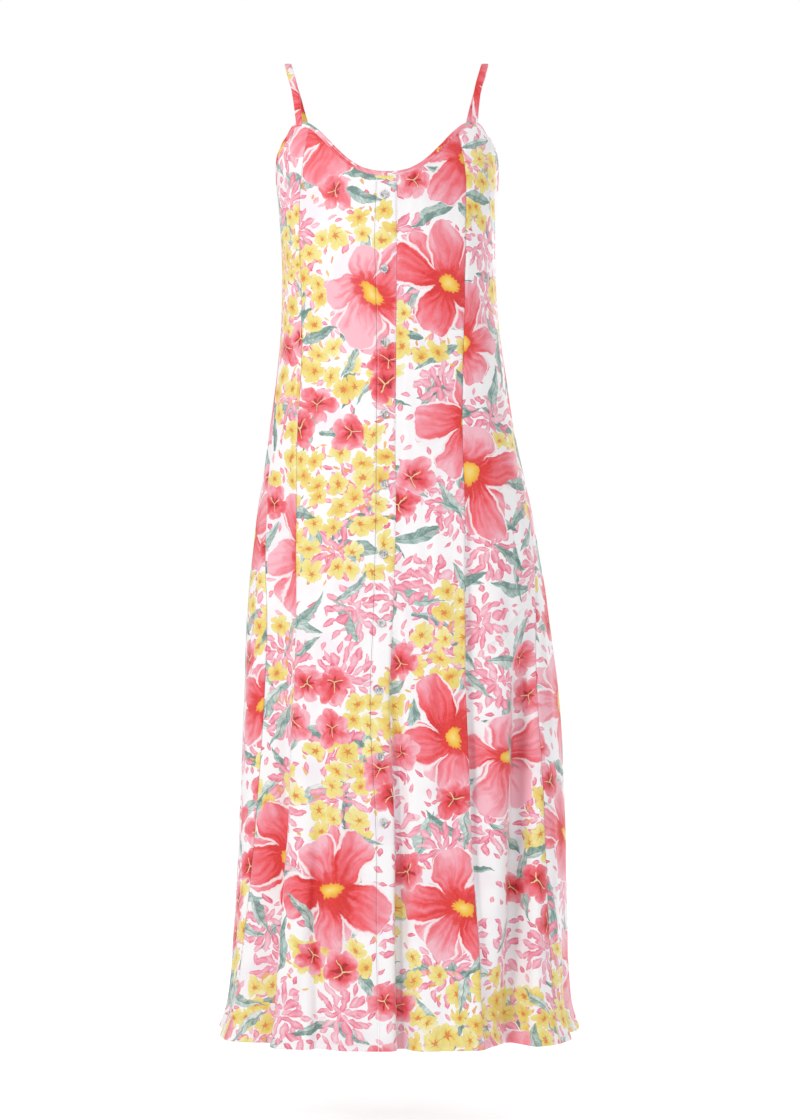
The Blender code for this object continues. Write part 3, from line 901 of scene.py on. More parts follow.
def yellow_flowers(below, cloth, rule):
    place, fibres = cloth
    x, y, dice, kept = strew(place, 30.0, 0.62, (203.0, 57.0, 0.0), rule)
    distance, bearing = polar(x, y)
    inside, along, aside, swing, die = petal_ring(
        distance, bearing, 5, 18.0, 8.3, dice[1], (0.55, 6.0, 0.5)
    )
    tone = along * 0.62 + dice[2] * 0.3 + (fibres - 0.5) * 0.9 + die * 0.14
    colour = over(smooth(aside, 0.7, 0.98) * 0.3, wash(tone, *YELLOW), "#E3BC58")
    painted = over(inside * kept, below, colour)
    vein = smooth(abs(swing) * distance, 0.5, 0.15) * smooth(distance, 10.0, 6.0)
    painted = over(vein * kept * 0.6, painted, "#E29A3E")
    eye = smooth(distance + (bearing * 5.0).wave() * 1.1, 3.6, 2.3) * kept
    return over(eye * 0.85, painted, "#DF7E36")


# %% Sprays of pink petals, and single ones
SPRAY_RINGS = (
    # petals, distance from the middle, half length, half width
    (6, 10.0, 8.4, 4.4),
    (10, 22.5, 10.0, 5.2),
    (13, 34.5, 9.0, 4.5),
)
PINK = (
    (0.0, "#FCD5DF"), (0.3, "#F9B3C4"), (0.55, "#F48FA6"), (0.8, "#EA6483"), (1.0, "#DB4468"),
)


def almond(x, y, half_length, half_width):
    """How far across an almond a place lies: 1 at its edge."""
    along = x / half_length
    return abs(y) / ((along * along).flipped().do("MAXIMUM", 0.001) * half_width)


def pink_petal(below, share, kept, tone):
    """An almond petal: pale inside, with a line of darker pink round its edge."""
    return over(smooth(share, 1.05, 0.93) * kept, below, wash(share * 0.42 + tone, *PINK))


def pink_sprays(painted, cloth, cell, shift, rule):
    place, fibres = cloth
    x, y, dice, kept = strew(place, cell, 0.42, shift, rule)
    distance, bearing = polar(x, y)
    for number, (count, radius, half_length, half_width) in enumerate(SPRAY_RINGS):
        swing, petal = sectors(bearing, count, dice[2] * (7.0 + number))
        node = cast(petal + dice[1] * 41.0 + number * 17.0)
        near, lean, tint = Spot(node.outputs["Color"]).dice()
        out = distance - radius - (near - 0.5) * (radius * 0.22)
        aside = swing * distance * (WHOLE_TURN / count) + out * (lean - 0.5) * 0.8
        share = almond(out, aside, half_length, half_width)
        tone = (fibres - 0.5) * 0.8 + tint * 0.34 + 0.02
        painted = pink_petal(painted, share, kept * smooth(tint, 0.08, 0.1), tone)
    return painted


def loose_petals(below, cloth, cell, shift, rule):
    """Single petals that fill the spaces."""
    place, fibres = cloth
    x, y, dice, kept = strew(place, cell, 0.8, shift, rule)
    tone = (fibres - 0.5) * 0.9 + dice[2] * 0.4 + 0.05
    return pink_petal(below, almond(x, y, cell * 0.36, cell * 0.16), kept, tone)


# %% Grey-green leaves
GREEN = (
    (0.0, "#5F8880"), (0.28, "#8DADA5"), (0.55, "#B4CBC4"), (0.8, "#D3E0DC"), (1.0, "#EAF1EF"),
)


def leaves(below, cloth, cell, shift, size, share_kept, depth):
    place, fibres = cloth
    x, y, dice, _ = strew(place, cell, 0.55, shift)
    half_length, half_width = size
    y = y + x * x * (0.09 / half_length)
    along = x / half_length
    pinch = (along * along).flipped().do("MAXIMUM", 0.001)
    share = abs(y) / (pinch**1.15 * (along * 0.35 + 1.0) * half_width)
    inside = smooth(share, 1.04, 0.93) * smooth(dice[1], share_kept + 0.01, share_kept - 0.01)
    veins = ((x + abs(y) * 1.4) * 0.9).wave() * 0.09
    tone = smooth(y, -0.4, 0.4) * 0.3 + veins + (fibres - 0.5) * 1.5 + dice[2] * 0.35 + depth
    colour = over(smooth(abs(y), 0.9, 0.35) * 0.7, wash(tone, *GREEN), "#567A70")
    colour = over(smooth(share, 0.84, 1.0) * 0.4, colour, "#5F8A7C")
    return over(inside * 0.93, below, colour)


# %% Small orange dabs


def orange_dabs(below, cloth, rule):
    x, y, dice, kept = strew(cloth[0], 17.0, 0.8, (5.0, 17.0, 0.0), rule)
    inside = smooth(almond(x, y, 5.6, 1.9), 1.05, 0.85) * kept
    return over(inside * 0.85, below, wash(dice[2], (0.0, "#F2C441"), (1.0, "#EC8E36")))


# %% [markdown]
# The kinds gather in clouds of their own. A coarse Voronoi texture deals each patch of
# cloth a number, and a motif asks it at its own centre, so that it is kept or dropped
# whole. The same question keeps the small flowers off the middle of the broad ones.

# %% The whole print as one node group
PRINT_LAYERS = (
    # the kind, and what it asks for; a rule is the patch numbers from and to, the share
    # kept, and the room left round a broad flower
    (loose_petals, 19.0, (43.0, 87.0, 0.0), (-0.1, 1.1, 0.78, 40.0)),
    (leaves, 84.0, (33.0, 5.0, 0.0), (38.0, 9.5), 0.82, 0.12),
    (leaves, 97.0, (9.0, 61.0, 0.0), (44.0, 7.0), 0.7, -0.08),
    (pink_sprays, 89.0, (71.0, 133.0, 0.0), (0.33, 1.1, 0.95, 56.0)),
    (orange_dabs, (0.2, 0.6, 0.55, 72.0)),
    (yellow_flowers, (0.22, 0.6, 0.94, 76.0)),
    (leaves, 109.0, (57.0, 93.0, 0.0), (30.0, 6.5), 0.6, 0.2),
    (big_flowers,),
    (leaves, 131.0, (77.0, 19.0, 0.0), (33.0, 7.5), 0.5, 0.05),
    (red_flowers, (-0.1, 0.31, 0.95, 74.0)),
)


def make_print():
    """Cloth millimetres in, printed colour out."""
    tree = bpy.data.node_groups.new("watercolour flowers", "ShaderNodeTree")
    tree.interface.new_socket("Place", in_out="INPUT", socket_type="NodeSocketVector")
    tree.interface.new_socket("Colour", in_out="OUTPUT", socket_type="NodeSocketColor")
    flat = Spot(step(tree, "NodeGroupInput").outputs[0])
    _, broad = noise(flat, 38.0, 1.0)
    _, close = noise(flat, 7.0, 2.0)
    place = flat + (broad - HALF) * 17.0 + (close - HALF) * 3.4
    fibres, _ = noise(place, 12.0, 4.0)
    haze, _ = noise(flat, 60.0, 1.0)
    colour = over(smooth(haze, 0.45, 0.75) * 0.55, "#FEFCFD", "#F3E9F1")
    for kind, *wishes in PRINT_LAYERS:
        colour = kind(colour, (place, fibres), *wishes)
    step(tree, "NodeGroupOutput", {0: colour})
    return tree


floral_print = make_print()
print("print nodes:", len(floral_print.nodes))

# %% [markdown]
# Viscose is smooth and soft with a faint bloom. Its surface gets a fine plain weave as a
# bump, thicker threads here and there, and a light sheen. The inside of a printed cloth
# is paler, because the dye is laid on one face, so each shell has a second material.

# %% Cloth materials
THREAD_PITCH = 0.55
LIGHT_SENT_BACK = 0.8


def new_finish(name):
    """A material, and the tree that its looks are built in."""
    material = bpy.data.materials.new(name)
    material.use_nodes = True
    return material, material.node_tree


def shade(tree, looks, bump=None):
    """Feeds the shader's sockets; a bump is its strength, its depth and its height."""
    shader = tree.nodes["Principled BSDF"]
    for name, value in looks.items():
        feed(value, shader.inputs[name])
    if bump:
        inputs = dict(zip(("Strength", "Distance", "Height"), bump))
        feed(Flow(step(tree, "ShaderNodeBump", inputs).outputs[0]), shader.inputs["Normal"])


def cloth_material(name, fade, roughness, sheen):
    """The printed cloth; fade is how much paler this face is than the printed one."""
    material, tree = new_finish(name)
    flat = Spot(step(tree, "ShaderNodeUVMap", uv_map="cloth").outputs[0]) * 1000.0
    group = step(tree, "ShaderNodeGroup", node_tree=floral_print)
    feed(flat, group.inputs[0])
    colour = Spot(group.outputs[0])
    if fade:
        colour = over(fade, colour, "#F6EEF2")
    across, down, _ = flat.parts()
    weave = (across * (WHOLE_TURN / THREAD_PITCH)).wave()
    weave = weave * (down * (WHOLE_TURN / THREAD_PITCH)).wave()
    slubs, _ = noise(joined(across * 0.12, down, 0.0), 0.9, 2.0)
    warps, _ = noise(joined(across, down * 0.12, 0.0), 0.9, 2.0)
    threads = slubs + warps
    colour = over(smooth(threads, 0.85, 1.35) * 0.07, colour, "#D9CFD8")
    looks = {
        "Base Color": colour * LIGHT_SENT_BACK,
        "Roughness": threads * 0.08 + (roughness - 0.08),
        "Sheen Weight": sheen,
        "Sheen Roughness": 0.4,
        "Sheen Tint": (1.0, 0.95, 0.97, 1.0),
        "Specular IOR Level": 0.38,
    }
    shade(tree, looks, (0.35, 0.00008, weave * 0.4 + threads * 0.8))
    return material


printed_viscose = cloth_material("printed_viscose", 0.0, 0.56, 0.22)
paler_inside = cloth_material("viscose_inside", 0.45, 0.68, 0.1)
bias_viscose = cloth_material("bias_cut_viscose", 0.0, 0.54, 0.25)

for name, piece in cloth_pieces.items():
    piece.data.materials.append(printed_viscose)
    piece.data.materials.append(paler_inside)
    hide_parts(name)
    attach(piece, "root")

# %% [markdown]
# The neck and the armholes end in rouleaux: bias strips sewn round the raw edge, turned
# and pressed. Each is a soft flattened tube on the cloth's own top edge. The tube is a
# thin shell like the panels, and it puckers a little, because a bias strip is eased on.

# %% Rolled bindings
RING_POINTS = 16
RING_PITCH = 0.0016
ROULEAU_WALL = 0.0004
BINDING_OVERLAP = 0.0016
BINDING_SAMPLES = 400
BINDING_SQUARENESS = 0.8
STRAP_CLEAR_ANGLE = 1.2
BINDING_STITCH_INSET = 0.0012
STITCH_SINK = 0.93
UNSEWN_RINGS = 3
CLOSED_END = 0.0012
SMALLEST_END = 0.02


def rounded(count, half_width, half_height, squareness):
    """Points on a flattened circle: 1 is an ellipse, and less is squarer."""
    turn = -np.arange(count) / count * 2 * np.pi
    cosine, sine = np.cos(turn), np.sin(turn)
    return (
        half_width * np.sign(cosine) * np.abs(cosine) ** squareness,
        half_height * np.sign(sine) * np.abs(sine) ** squareness,
    )


def rings_round(line, first_way, first_size, second_way, second_size):
    """Rings of points round a line, from their sizes in two ways, ring by ring."""
    return (
        line[:, None]
        + first_way[:, None] * first_size[..., None]
        + second_way[:, None] * second_size[..., None]
    )


def tube_mesh(name, rings, shift):
    """A closed tube through rings of points, with its UV map along and around it."""
    count, around = rings.shape[:2]
    run = run_along(rings.mean(1))
    round_it = run_along(np.concatenate([rings, rings[:, :1]], 1), 1).mean(0)
    tube = bmesh.new()
    layer = tube.loops.layers.uv.new("cloth")
    rows = [[tube.verts.new(point) for point in ring] for ring in rings.tolist()]
    for ring in range(count - 1):
        for place in range(around):
            corners = ((ring, place), (ring + 1, place), (ring + 1, place + 1), (ring, place + 1))
            face = tube.faces.new([rows[along][side % around] for along, side in corners])
            for loop, (along, side) in zip(face.loops, corners):
                loop[layer].uv = (round_it[side] + shift[0], run[along] + shift[1])
    ends = [tube.faces.new(rows[0]), tube.faces.new(rows[-1][::-1])]
    for face in bmesh.ops.poke(tube, faces=ends)["faces"]:
        for loop in face.loops:
            loop[layer].uv = shift
    bmesh.ops.recalc_face_normals(tube, faces=tube.faces)
    return mesh_of(name, tube), float(round_it[-1]), float(run[-1])


def make_rouleau(node, rings, shift):
    piece, girth, length = tube_mesh("rouleau_" + node, rings, shift)
    piece.data.materials.append(bias_viscose)
    thin_shell(piece, ROULEAU_WALL)
    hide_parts(node)
    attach(piece, "root")
    print(node, "cut", round(girth, 4), "by", round(length, 3))


TOP_SAMPLES = 9001


def across_at_top(angle):
    """The place between the seams at this angle near the top edge."""
    across = np.linspace(-SEAM_COUNT, 2 * SEAM_COUNT, TOP_SAMPLES)
    return float(np.interp(angle, angle_at(across, TOP_SEAM_DROP), across))


def edge_frame(across, lapped):
    """The middle of the cloth's top edge, the way along it, out of it and up from it."""
    lift = placket_lift(across) if lapped else np.zeros_like(across)

    def edge(places):
        point, _, outward = surface_frame(places, top_drop_across(places))
        return point + outward * (lift - WALL / 2)[:, None], outward

    middle, outward = edge(across)
    along = unit(edge(across + ACROSS_STEP)[0] - edge(across - ACROSS_STEP)[0])
    upward = np.cross(outward, along)
    return middle, outward, upward * np.sign(upward[:, 2:])


def pucker(place, length):
    """How a bound edge swells and narrows along its length, and closes at both ends."""
    swell = 1 + 0.045 * np.sin(place / 0.0043) * np.sin(place / 0.0271 + 1)
    swell = swell + 0.03 * np.sin(place / 0.0117 + 2)
    closing = np.clip(np.minimum(place, length - place) / CLOSED_END, 0, 1)
    return swell * np.sqrt(np.clip(closing * (2 - closing), SMALLEST_END, 1))


def make_binding(node, first_angle, last_angle, shift, lapped=False):
    """One binding along the top edge; its seam line is kept for the stitches."""
    rough = np.linspace(across_at_top(first_angle), across_at_top(last_angle), BINDING_SAMPLES)
    run = run_along(edge_frame(rough, lapped)[0])
    place = np.linspace(0, run[-1], int(run[-1] / RING_PITCH))
    middle, outward, upward = edge_frame(np.interp(place, run, rough), lapped)
    low, high = SEAM_GAP - BINDING_OVERLAP, SEAM_GAP + BINDING_HEIGHT
    half_thickness, half_height = BINDING_THICKNESS / 2, (high - low) / 2
    centre = middle + upward * ((low + high) / 2)
    side, height = rounded(RING_POINTS, half_thickness, half_height, BINDING_SQUARENESS)
    swell = pucker(place, run[-1])
    rings = rings_round(centre, outward, np.outer(swell, side), upward, np.outer(swell, height))
    make_rouleau(node, rings, shift)
    line = centre + outward * (half_thickness * STITCH_SINK)
    line = line + upward * (BINDING_STITCH_INSET - half_height)
    return line[UNSEWN_RINGS:-UNSEWN_RINGS], outward[UNSEWN_RINGS:-UNSEWN_RINGS]


front_start = FRONT_APEX_ANGLE - STRAP_CLEAR_ANGLE
front_end = FRONT_APEX_ANGLE + STRAP_CLEAR_ANGLE
back_start = BACK_APEX_ANGLE - STRAP_CLEAR_ANGLE
back_end = BACK_APEX_ANGLE + STRAP_CLEAR_ANGLE
BINDING_GAP = 0.15
BINDINGS = (
    # node, first angle, last angle, print shift, lapped
    ("neck_binding_right", -front_start, PLACKET_EDGE_ANGLE, (0.648, 0.340), True),
    ("neck_binding_left", PLACKET_EDGE_ANGLE + BINDING_GAP, front_start, (0.586, 0.150), False),
    ("arm_binding_left", front_end, back_start, (0.620, 0.480), False),
    ("back_binding", back_end, 360 - back_end, (0.406, 0.351), False),
    ("arm_binding_right", 360 - back_start, 360 - front_end, (0.352, 0.644), False),
)
binding_lines = [make_binding(*binding) for binding in BINDINGS]

# %% [markdown]
# A strap is a narrow flat tube. It follows one smooth line from the front point over the
# shoulder to the back point, turning as it goes, because it is sewn flat to both edges
# and lies flat on the shoulder. The line's points are the same as in the solids.

# %% Straps
STRAP_ROUTE = (
    # out, forward, drop, turned
    (126.0, 37.5, 47.0, 0.40),
    (135.5, 15.0, 9.5, 0.85),
    (138.0, 0.0, 1.5, 1.00),
    (135.5, -15.0, 9.5, 0.85),
    (123.5, -40.0, 50.0, 0.40),
)
STRAP_STEPS = 24
STRAP_PITCH = 0.0018
STRAP_RING_POINTS = 20
STRAP_SQUARENESS = 0.62


def smooth_path(points, steps):
    """A smooth curve through the given points."""
    points = np.array(points)
    ends = np.concatenate([points[:1], points, points[-1:]])
    part = (np.arange(steps) / steps)[:, None]
    path = [
        smooth_between(start, end, (end - before) / 2, (after - start) / 2, part)
        for before, start, end, after in zip(ends, ends[1:], ends[2:], ends[3:])
    ]
    return np.concatenate(path + [points[-1:]])


def strap_foot(angle):
    """Where a strap leaves the top edge, and the way along that edge."""
    across = np.array([across_at_top(angle)])
    point, along, outward = surface_frame(across, top_drop(np.array([angle])))
    return (point - outward * WALL / 2)[0], along[0]


def make_strap(node, side, shift):
    """One strap; the side is -1 on the wearer's right and 1 on the left."""
    front, front_width = strap_foot(side * FRONT_APEX_ANGLE)
    back, back_width = strap_foot(side * BACK_APEX_ANGLE)
    tuck = np.array([0, 0, SEAM_GAP])
    outward = np.array([side, 0, 0])
    route, widths = [front + tuck], [front_width * side]
    for out, forward, drop, turned in STRAP_ROUTE:
        route.append(np.array([side * out, -forward, -drop]) * MM)
        near = front_width * side if forward > 0 else -back_width * side
        widths.append(near + (outward - near) * turned)
    path = smooth_path([*route, back + tuck], STRAP_STEPS)
    wide = smooth_path([*widths, -back_width * side], STRAP_STEPS)
    forward = np.gradient(path, axis=0)
    forward[0], forward[-1] = (0, 0, 1), (0, 0, -1)
    forward = unit(forward)
    wide = unit(wide - forward * (wide * forward).sum(1, keepdims=True))
    face = np.cross(forward, wide)
    run = run_along(path)
    place = np.linspace(0, run[-1], int(run[-1] / STRAP_PITCH))

    def even(values):
        return np.stack([np.interp(place, run, values[:, axis]) for axis in range(3)], 1)

    across, thick = rounded(
        STRAP_RING_POINTS, STRAP_WIDTH / 2, STRAP_THICKNESS / 2, STRAP_SQUARENESS
    )
    swell = 1 + 0.02 * np.sin(place / 0.0059) * np.sin(place / 0.031 + side)
    wide_size, thick_size = np.outer(swell, across), np.outer(2 - swell, thick)
    rings = rings_round(even(path), unit(even(wide)), wide_size, unit(even(face)), thick_size)
    make_rouleau(node, rings, shift)


make_strap("strap_right", -1, (0.610, 0.612))
make_strap("strap_left", 1, (0.760, 0.348))

# %% [markdown]
# Sewing is what makes cloth look made. The real dress is topstitched down both edges of
# the buttoned band, round the hem and along the bindings, and each buttonhole is worked
# in close satin stitch. One Geometry Nodes tree makes all of it: it walks along guide
# lines, sets a small rounded stitch every few millimetres, and lets each one differ a
# little from the next. The guide lines are read from the panels' own grids.

# %% Guide lines on the cloth
THREAD_RISE = 0.00012


def follow(places, measure, cloth):
    """In each row of a grid, the point and the way out where a measure is at its place."""
    read = np.array([
        [np.interp(place, row, value) for value in values.T]
        for place, row, values in zip(places, measure, cloth)
    ])
    return read[:, :3], unit(read[:, 3:])


def line_down(grid, inset, edge):
    """Points down a panel, inset from its first column (edge 0) or its last (edge -1)."""
    places = grid["aside"][:, edge] + (inset if edge == 0 else -inset)
    return follow(places, grid["aside"], grid["cloth"])


def line_round(grid, above_hem):
    """Points across a panel, level with its hem."""
    drop = grid["drop"][:, 1:-1].T
    cloth = grid["cloth"][:, 1:-1].swapaxes(0, 1)
    return follow(np.full(len(drop), HEM_DROP - above_hem), drop, cloth)


def marked(name, points, edges, **ways):
    """Loose points and edges as an object, with ways kept on its points."""
    mesh = bpy.data.meshes.new(name)
    mesh.from_pydata(points.tolist(), edges, [])
    for label, values in ways.items():
        mesh.attributes.new(label, "FLOAT_VECTOR", "POINT").data.foreach_set("vector", values.ravel())
    return in_scene(name, mesh)


def guide_of(name, lines):
    """The lines that one kind of stitch follows, a little above the cloth."""
    points = np.concatenate([line + out * THREAD_RISE for line, out in lines])
    edges, start = [], 0
    for line, _ in lines:
        edges += [(place, place + 1) for place in range(start, start + len(line) - 1)]
        start += len(line)
    return marked(name, points, edges, out=np.concatenate([out for _, out in lines]))


# %% Geometry Nodes helpers


def new_tree(name, inputs):
    """A geometry tree with named inputs, their identifiers, and the flows they give."""
    tree = bpy.data.node_groups.new(name, "GeometryNodeTree")
    identifiers = {}
    for label, kind, default in (("Geometry", "NodeSocketGeometry", None), *inputs):
        socket = tree.interface.new_socket(label, in_out="INPUT", socket_type=kind)
        if default is not None:
            socket.default_value = default
        identifiers[label] = socket.identifier
    tree.interface.new_socket("Geometry", in_out="OUTPUT", socket_type="NodeSocketGeometry")
    given = step(tree, "NodeGroupInput").outputs
    return tree, identifiers, {label: Flow(given[label]) for label in identifiers}


def made_by(tree, kind, inputs=(), **settings):
    """The first output of a new node."""
    return Flow(step(tree, "GeometryNode" + kind, inputs, **settings).outputs[0])


def kept_way(tree, name):
    """A way out of the cloth or aside, as the guide's points keep it."""
    return made_by(tree, "InputNamedAttribute", {"Name": name}, data_type="FLOAT_VECTOR")


def random_between(low, high, seed):
    inputs = {"Min": low, "Max": high, "Seed": seed}
    node = step(seed.tree, "FunctionNodeRandomValue", inputs, data_type="FLOAT")
    return Flow(socket_in_use(node.outputs, "Value"))


def facing(along, swing, seed):
    """Rotations that face out of the cloth, turned at random by the swing at most."""
    tree = seed.tree
    inputs = {0: kept_way(tree, "out"), 1: along}
    faced = step(
        tree, "FunctionNodeAxesToRotation", inputs, primary_axis="Z", secondary_axis="X"
    )
    yaw = joined(0.0, 0.0, random_between(swing * -1.0, swing, seed))
    inputs = {0: Flow(faced.outputs[0]), 1: yaw}
    turned = step(tree, "FunctionNodeRotateRotation", inputs, rotation_space="LOCAL")
    return Flow(turned.outputs[0])


def set_on_points(tree, finish, **inputs):
    """Ends a tree: a smooth piece on every point, made real, with its material."""
    placed = made_by(tree, "InstanceOnPoints", inputs)
    real = made_by(tree, "RealizeInstances", {0: placed})
    soft = made_by(tree, "SetShadeSmooth", {0: real})
    painted = made_by(tree, "SetMaterial", {0: soft, "Material": finish})
    step(tree, "NodeGroupOutput", {0: painted})


def plain_copy(piece, name):
    """The mesh that a piece's modifiers give."""
    shown = piece.evaluated_get(bpy.context.evaluated_depsgraph_get())
    mesh = bpy.data.meshes.new_from_object(shown)
    mesh.name = name
    return mesh


def grown(guide, tree, identifiers, values, name):
    """Runs a tree on a guide with the given inputs and returns a plain mesh object."""
    modifier = guide.modifiers.new(tree.name, "NODES")
    modifier.node_group = tree
    for label, value in values.items():
        modifier[identifiers[label]] = value
    made = in_scene(name, plain_copy(guide, name))
    guide.modifiers.remove(modifier)
    return made


# %% The stitching tree
STITCH_INPUTS = (
    ("Pitch", "NodeSocketFloat", 0.003),
    ("Stitch Length", "NodeSocketFloat", 0.0023),
    ("Stitch Width", "NodeSocketFloat", 0.0004),
    ("Stitch Height", "NodeSocketFloat", 0.0003),
    ("Unevenness", "NodeSocketFloat", 0.12),
    ("Seed", "NodeSocketInt", 0),
    ("Thread", "NodeSocketMaterial", None),
)
YAW_SHARE = 0.6
BEAD_SEGMENTS = 6
BEAD_RINGS = 4


def stitch_tree():
    tree, identifiers, take = new_tree("stitching", STITCH_INPUTS)
    path = made_by(tree, "MeshToCurve", {0: take["Geometry"]})
    inputs = {"Curve": path, "Length": take["Pitch"]}
    even = made_by(tree, "ResampleCurve", inputs, mode="LENGTH")
    inputs = {"Segments": BEAD_SEGMENTS, "Rings": BEAD_RINGS, "Radius": 0.5}
    bead = made_by(tree, "MeshUVSphere", inputs)
    unevenness, seed = take["Unevenness"], take["Seed"]
    rotation = facing(made_by(tree, "InputTangent"), unevenness * YAW_SHARE, seed)
    size = random_between(unevenness.flipped(), unevenness + 1.0, seed)
    shape = joined(take["Stitch Length"] * size, take["Stitch Width"], take["Stitch Height"])
    set_on_points(
        tree, take["Thread"], Points=even, Instance=bead, Rotation=rotation, Scale=shape
    )
    return tree, identifiers


# %% Sewing thread
STRAND_PITCH = 0.00028


def thread_material():
    """Twisted white polyester thread: fine slanting strands and a soft shine."""
    material, tree = new_finish("sewing_thread")
    spot = Spot(step(tree, "ShaderNodeTexCoord").outputs["Object"])
    x, y, z = spot.parts()
    strands = ((x + y * 0.6 + z) * (WHOLE_TURN / STRAND_PITCH)).wave()
    blots, _ = noise(spot, 0.02, 2.0, "3D")
    tone = wash(blots + strands * 0.12, (0.2, "#DDD0D6"), (0.55, "#F1E9EC"), (0.9, "#FBF6F7"))
    looks = {"Base Color": tone * LIGHT_SENT_BACK, "Roughness": 0.45, "Sheen Weight": 0.3}
    shade(tree, looks, (0.5, 0.00005, strands))
    return material


sewing_thread = thread_material()
stitching, stitch_inputs = stitch_tree()


def sew(name, lines, **sizes):
    """Stitches along guide lines, as one piece that rides with the cloth."""
    guide = guide_of(name + "_guide", lines)
    values = {label.replace("_", " "): value for label, value in sizes.items()}
    values["Thread"] = sewing_thread
    stitches = grown(guide, stitching, stitch_inputs, values, name)
    bpy.data.objects.remove(guide)
    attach(stitches, "root")
    print(name, "faces:", len(stitches.data.polygons))


# %% Topstitching
BAND_INSET = 0.0019
HEM_STITCH_RISE = 0.0086
band_lines = [line_down(grids["button_placket"], BAND_INSET, edge) for edge in (0, -1)]
hem_lines = [line_round(grid, HEM_STITCH_RISE) for grid in grids.values()]
sew("band_topstitch", band_lines, Pitch=0.0029, Stitch_Length=0.0023, Seed=3)
sew("hem_topstitch", hem_lines, Pitch=0.0033, Stitch_Length=0.0026, Seed=7)
sew("binding_topstitch", binding_lines, Pitch=0.0026, Stitch_Length=0.0020, Seed=11)

# %% [markdown]
# Ten small shirt buttons close the band. A button is a turned disc with a raised rim, a
# dished middle and four drilled holes, so it is made once, as a profile spun round with
# real holes cut in it. Geometry Nodes then sets one on each of ten points and turns each
# by its own angle, as sewn buttons are. A second pass with the same points adds the
# thread through the holes, and the stitching tree works the upright buttonholes.

# %% Where the buttons sit
BUTTON_RADIUS = 0.00575
BUTTON_THICKNESS = 0.0024
button_places = []
for number in range(BUTTON_COUNT):
    low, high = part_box(f"button_{number + 1:02d}")
    centre = (np.array(low) + np.array(high)) / 2
    _, _, way = surface_frame(np.array([BUTTON_ACROSS]), np.array([button_drop(number)]))
    button_places.append((centre, way[0]))
print("first button at", button_places[0][0].round(4))

# %% One button, with its holes
RIM = (
    # part of the radius, part of the thickness
    (0.0, 0.0),
    (0.80, 0.0),
    (0.95, 0.14),
    (1.0, 0.42),
    (0.985, 0.70),
    (0.93, 0.90),
    (0.86, 0.97),
    (0.78, 0.92),
    (0.69, 0.70),
    (0.60, 0.60),
    (0.0, 0.56),
)
HOLE_RADIUS = 0.00080
HOLE_PLACE = 0.00135
SPIN_STEPS = 40
HOLE_SEGMENTS = 14
SHARP_ANGLE = 38
MERGE_DISTANCE = 0.00001


def turned_disc():
    """The button's blank: its profile, spun round the Z axis, centred on its height."""
    disc = bmesh.new()
    chain = [
        disc.verts.new((part * BUTTON_RADIUS, 0, (rise - 0.5) * BUTTON_THICKNESS))
        for part, rise in RIM
    ]
    edges = [disc.edges.new(pair) for pair in zip(chain, chain[1:])]
    bmesh.ops.spin(
        disc, geom=chain + edges, cent=(0, 0, 0), axis=(0, 0, 1), angle=WHOLE_TURN,
        steps=SPIN_STEPS,
    )
    bmesh.ops.remove_doubles(disc, verts=disc.verts, dist=MERGE_DISTANCE)
    bmesh.ops.recalc_face_normals(disc, faces=disc.faces)
    return mesh_of("button_blank", disc)


def drills():
    """Four thin cylinders, joined, that cut the holes."""
    tool = bmesh.new()
    reach = HOLE_PLACE * math.sqrt(2)
    for corner in range(4):
        turn = math.pi / 4 + corner * math.pi / 2
        made = bmesh.ops.create_cone(
            tool, cap_ends=True, segments=HOLE_SEGMENTS, radius1=HOLE_RADIUS,
            radius2=HOLE_RADIUS, depth=BUTTON_THICKNESS * 3,
        )
        place = (reach * math.cos(turn), reach * math.sin(turn), 0)
        bmesh.ops.translate(tool, verts=made["verts"], vec=place)
    return mesh_of("drills", tool)


def drilled_button():
    blank, cutter = turned_disc(), drills()
    cut = blank.modifiers.new("holes", "BOOLEAN")
    cut.object = cutter
    mesh = plain_copy(blank, "button_master")
    mesh.shade_smooth()
    mesh.set_sharp_from_angle(angle=math.radians(SHARP_ANGLE))
    for old in (blank, cutter):
        bpy.data.objects.remove(old)
    return in_scene("button_master", mesh)


BAR_SIZE = (0.0037, 0.00036, 0.0007)
BAR_PITCH = 0.00028
BAR_HEIGHT = 0.00025


def crossed_threads():
    """The two stitches that hold a button: short round bars from hole to hole."""
    bars = bmesh.new()
    for side in (-1, 1):
        for strand in (-1, 0, 1):
            made = bmesh.ops.create_uvsphere(bars, u_segments=8, v_segments=6, radius=0.5)
            bmesh.ops.scale(bars, verts=made["verts"], vec=BAR_SIZE)
            shift = (0, side * HOLE_PLACE + strand * BAR_PITCH, BAR_HEIGHT)
            bmesh.ops.translate(bars, verts=made["verts"], vec=shift)
    return mesh_of("thread_master", bars)


# %% The tree that sets a piece on every point
SETTING_INPUTS = (
    ("Piece", "NodeSocketObject", None),
    ("Largest Turn", "NodeSocketFloat", 0.5),
    ("Seed", "NodeSocketInt", 0),
    ("Finish", "NodeSocketMaterial", None),
)


def setting_tree():
    tree, identifiers, take = new_tree("set on points", SETTING_INPUTS)
    master = step(tree, "GeometryNodeObjectInfo", {"Object": take["Piece"]})
    piece = Flow(master.outputs["Geometry"])
    rotation = facing(kept_way(tree, "aside"), take["Largest Turn"], take["Seed"])
    set_on_points(
        tree, take["Finish"], Points=take["Geometry"], Instance=piece, Rotation=rotation
    )
    return tree, identifiers


# %% Pearly button finish


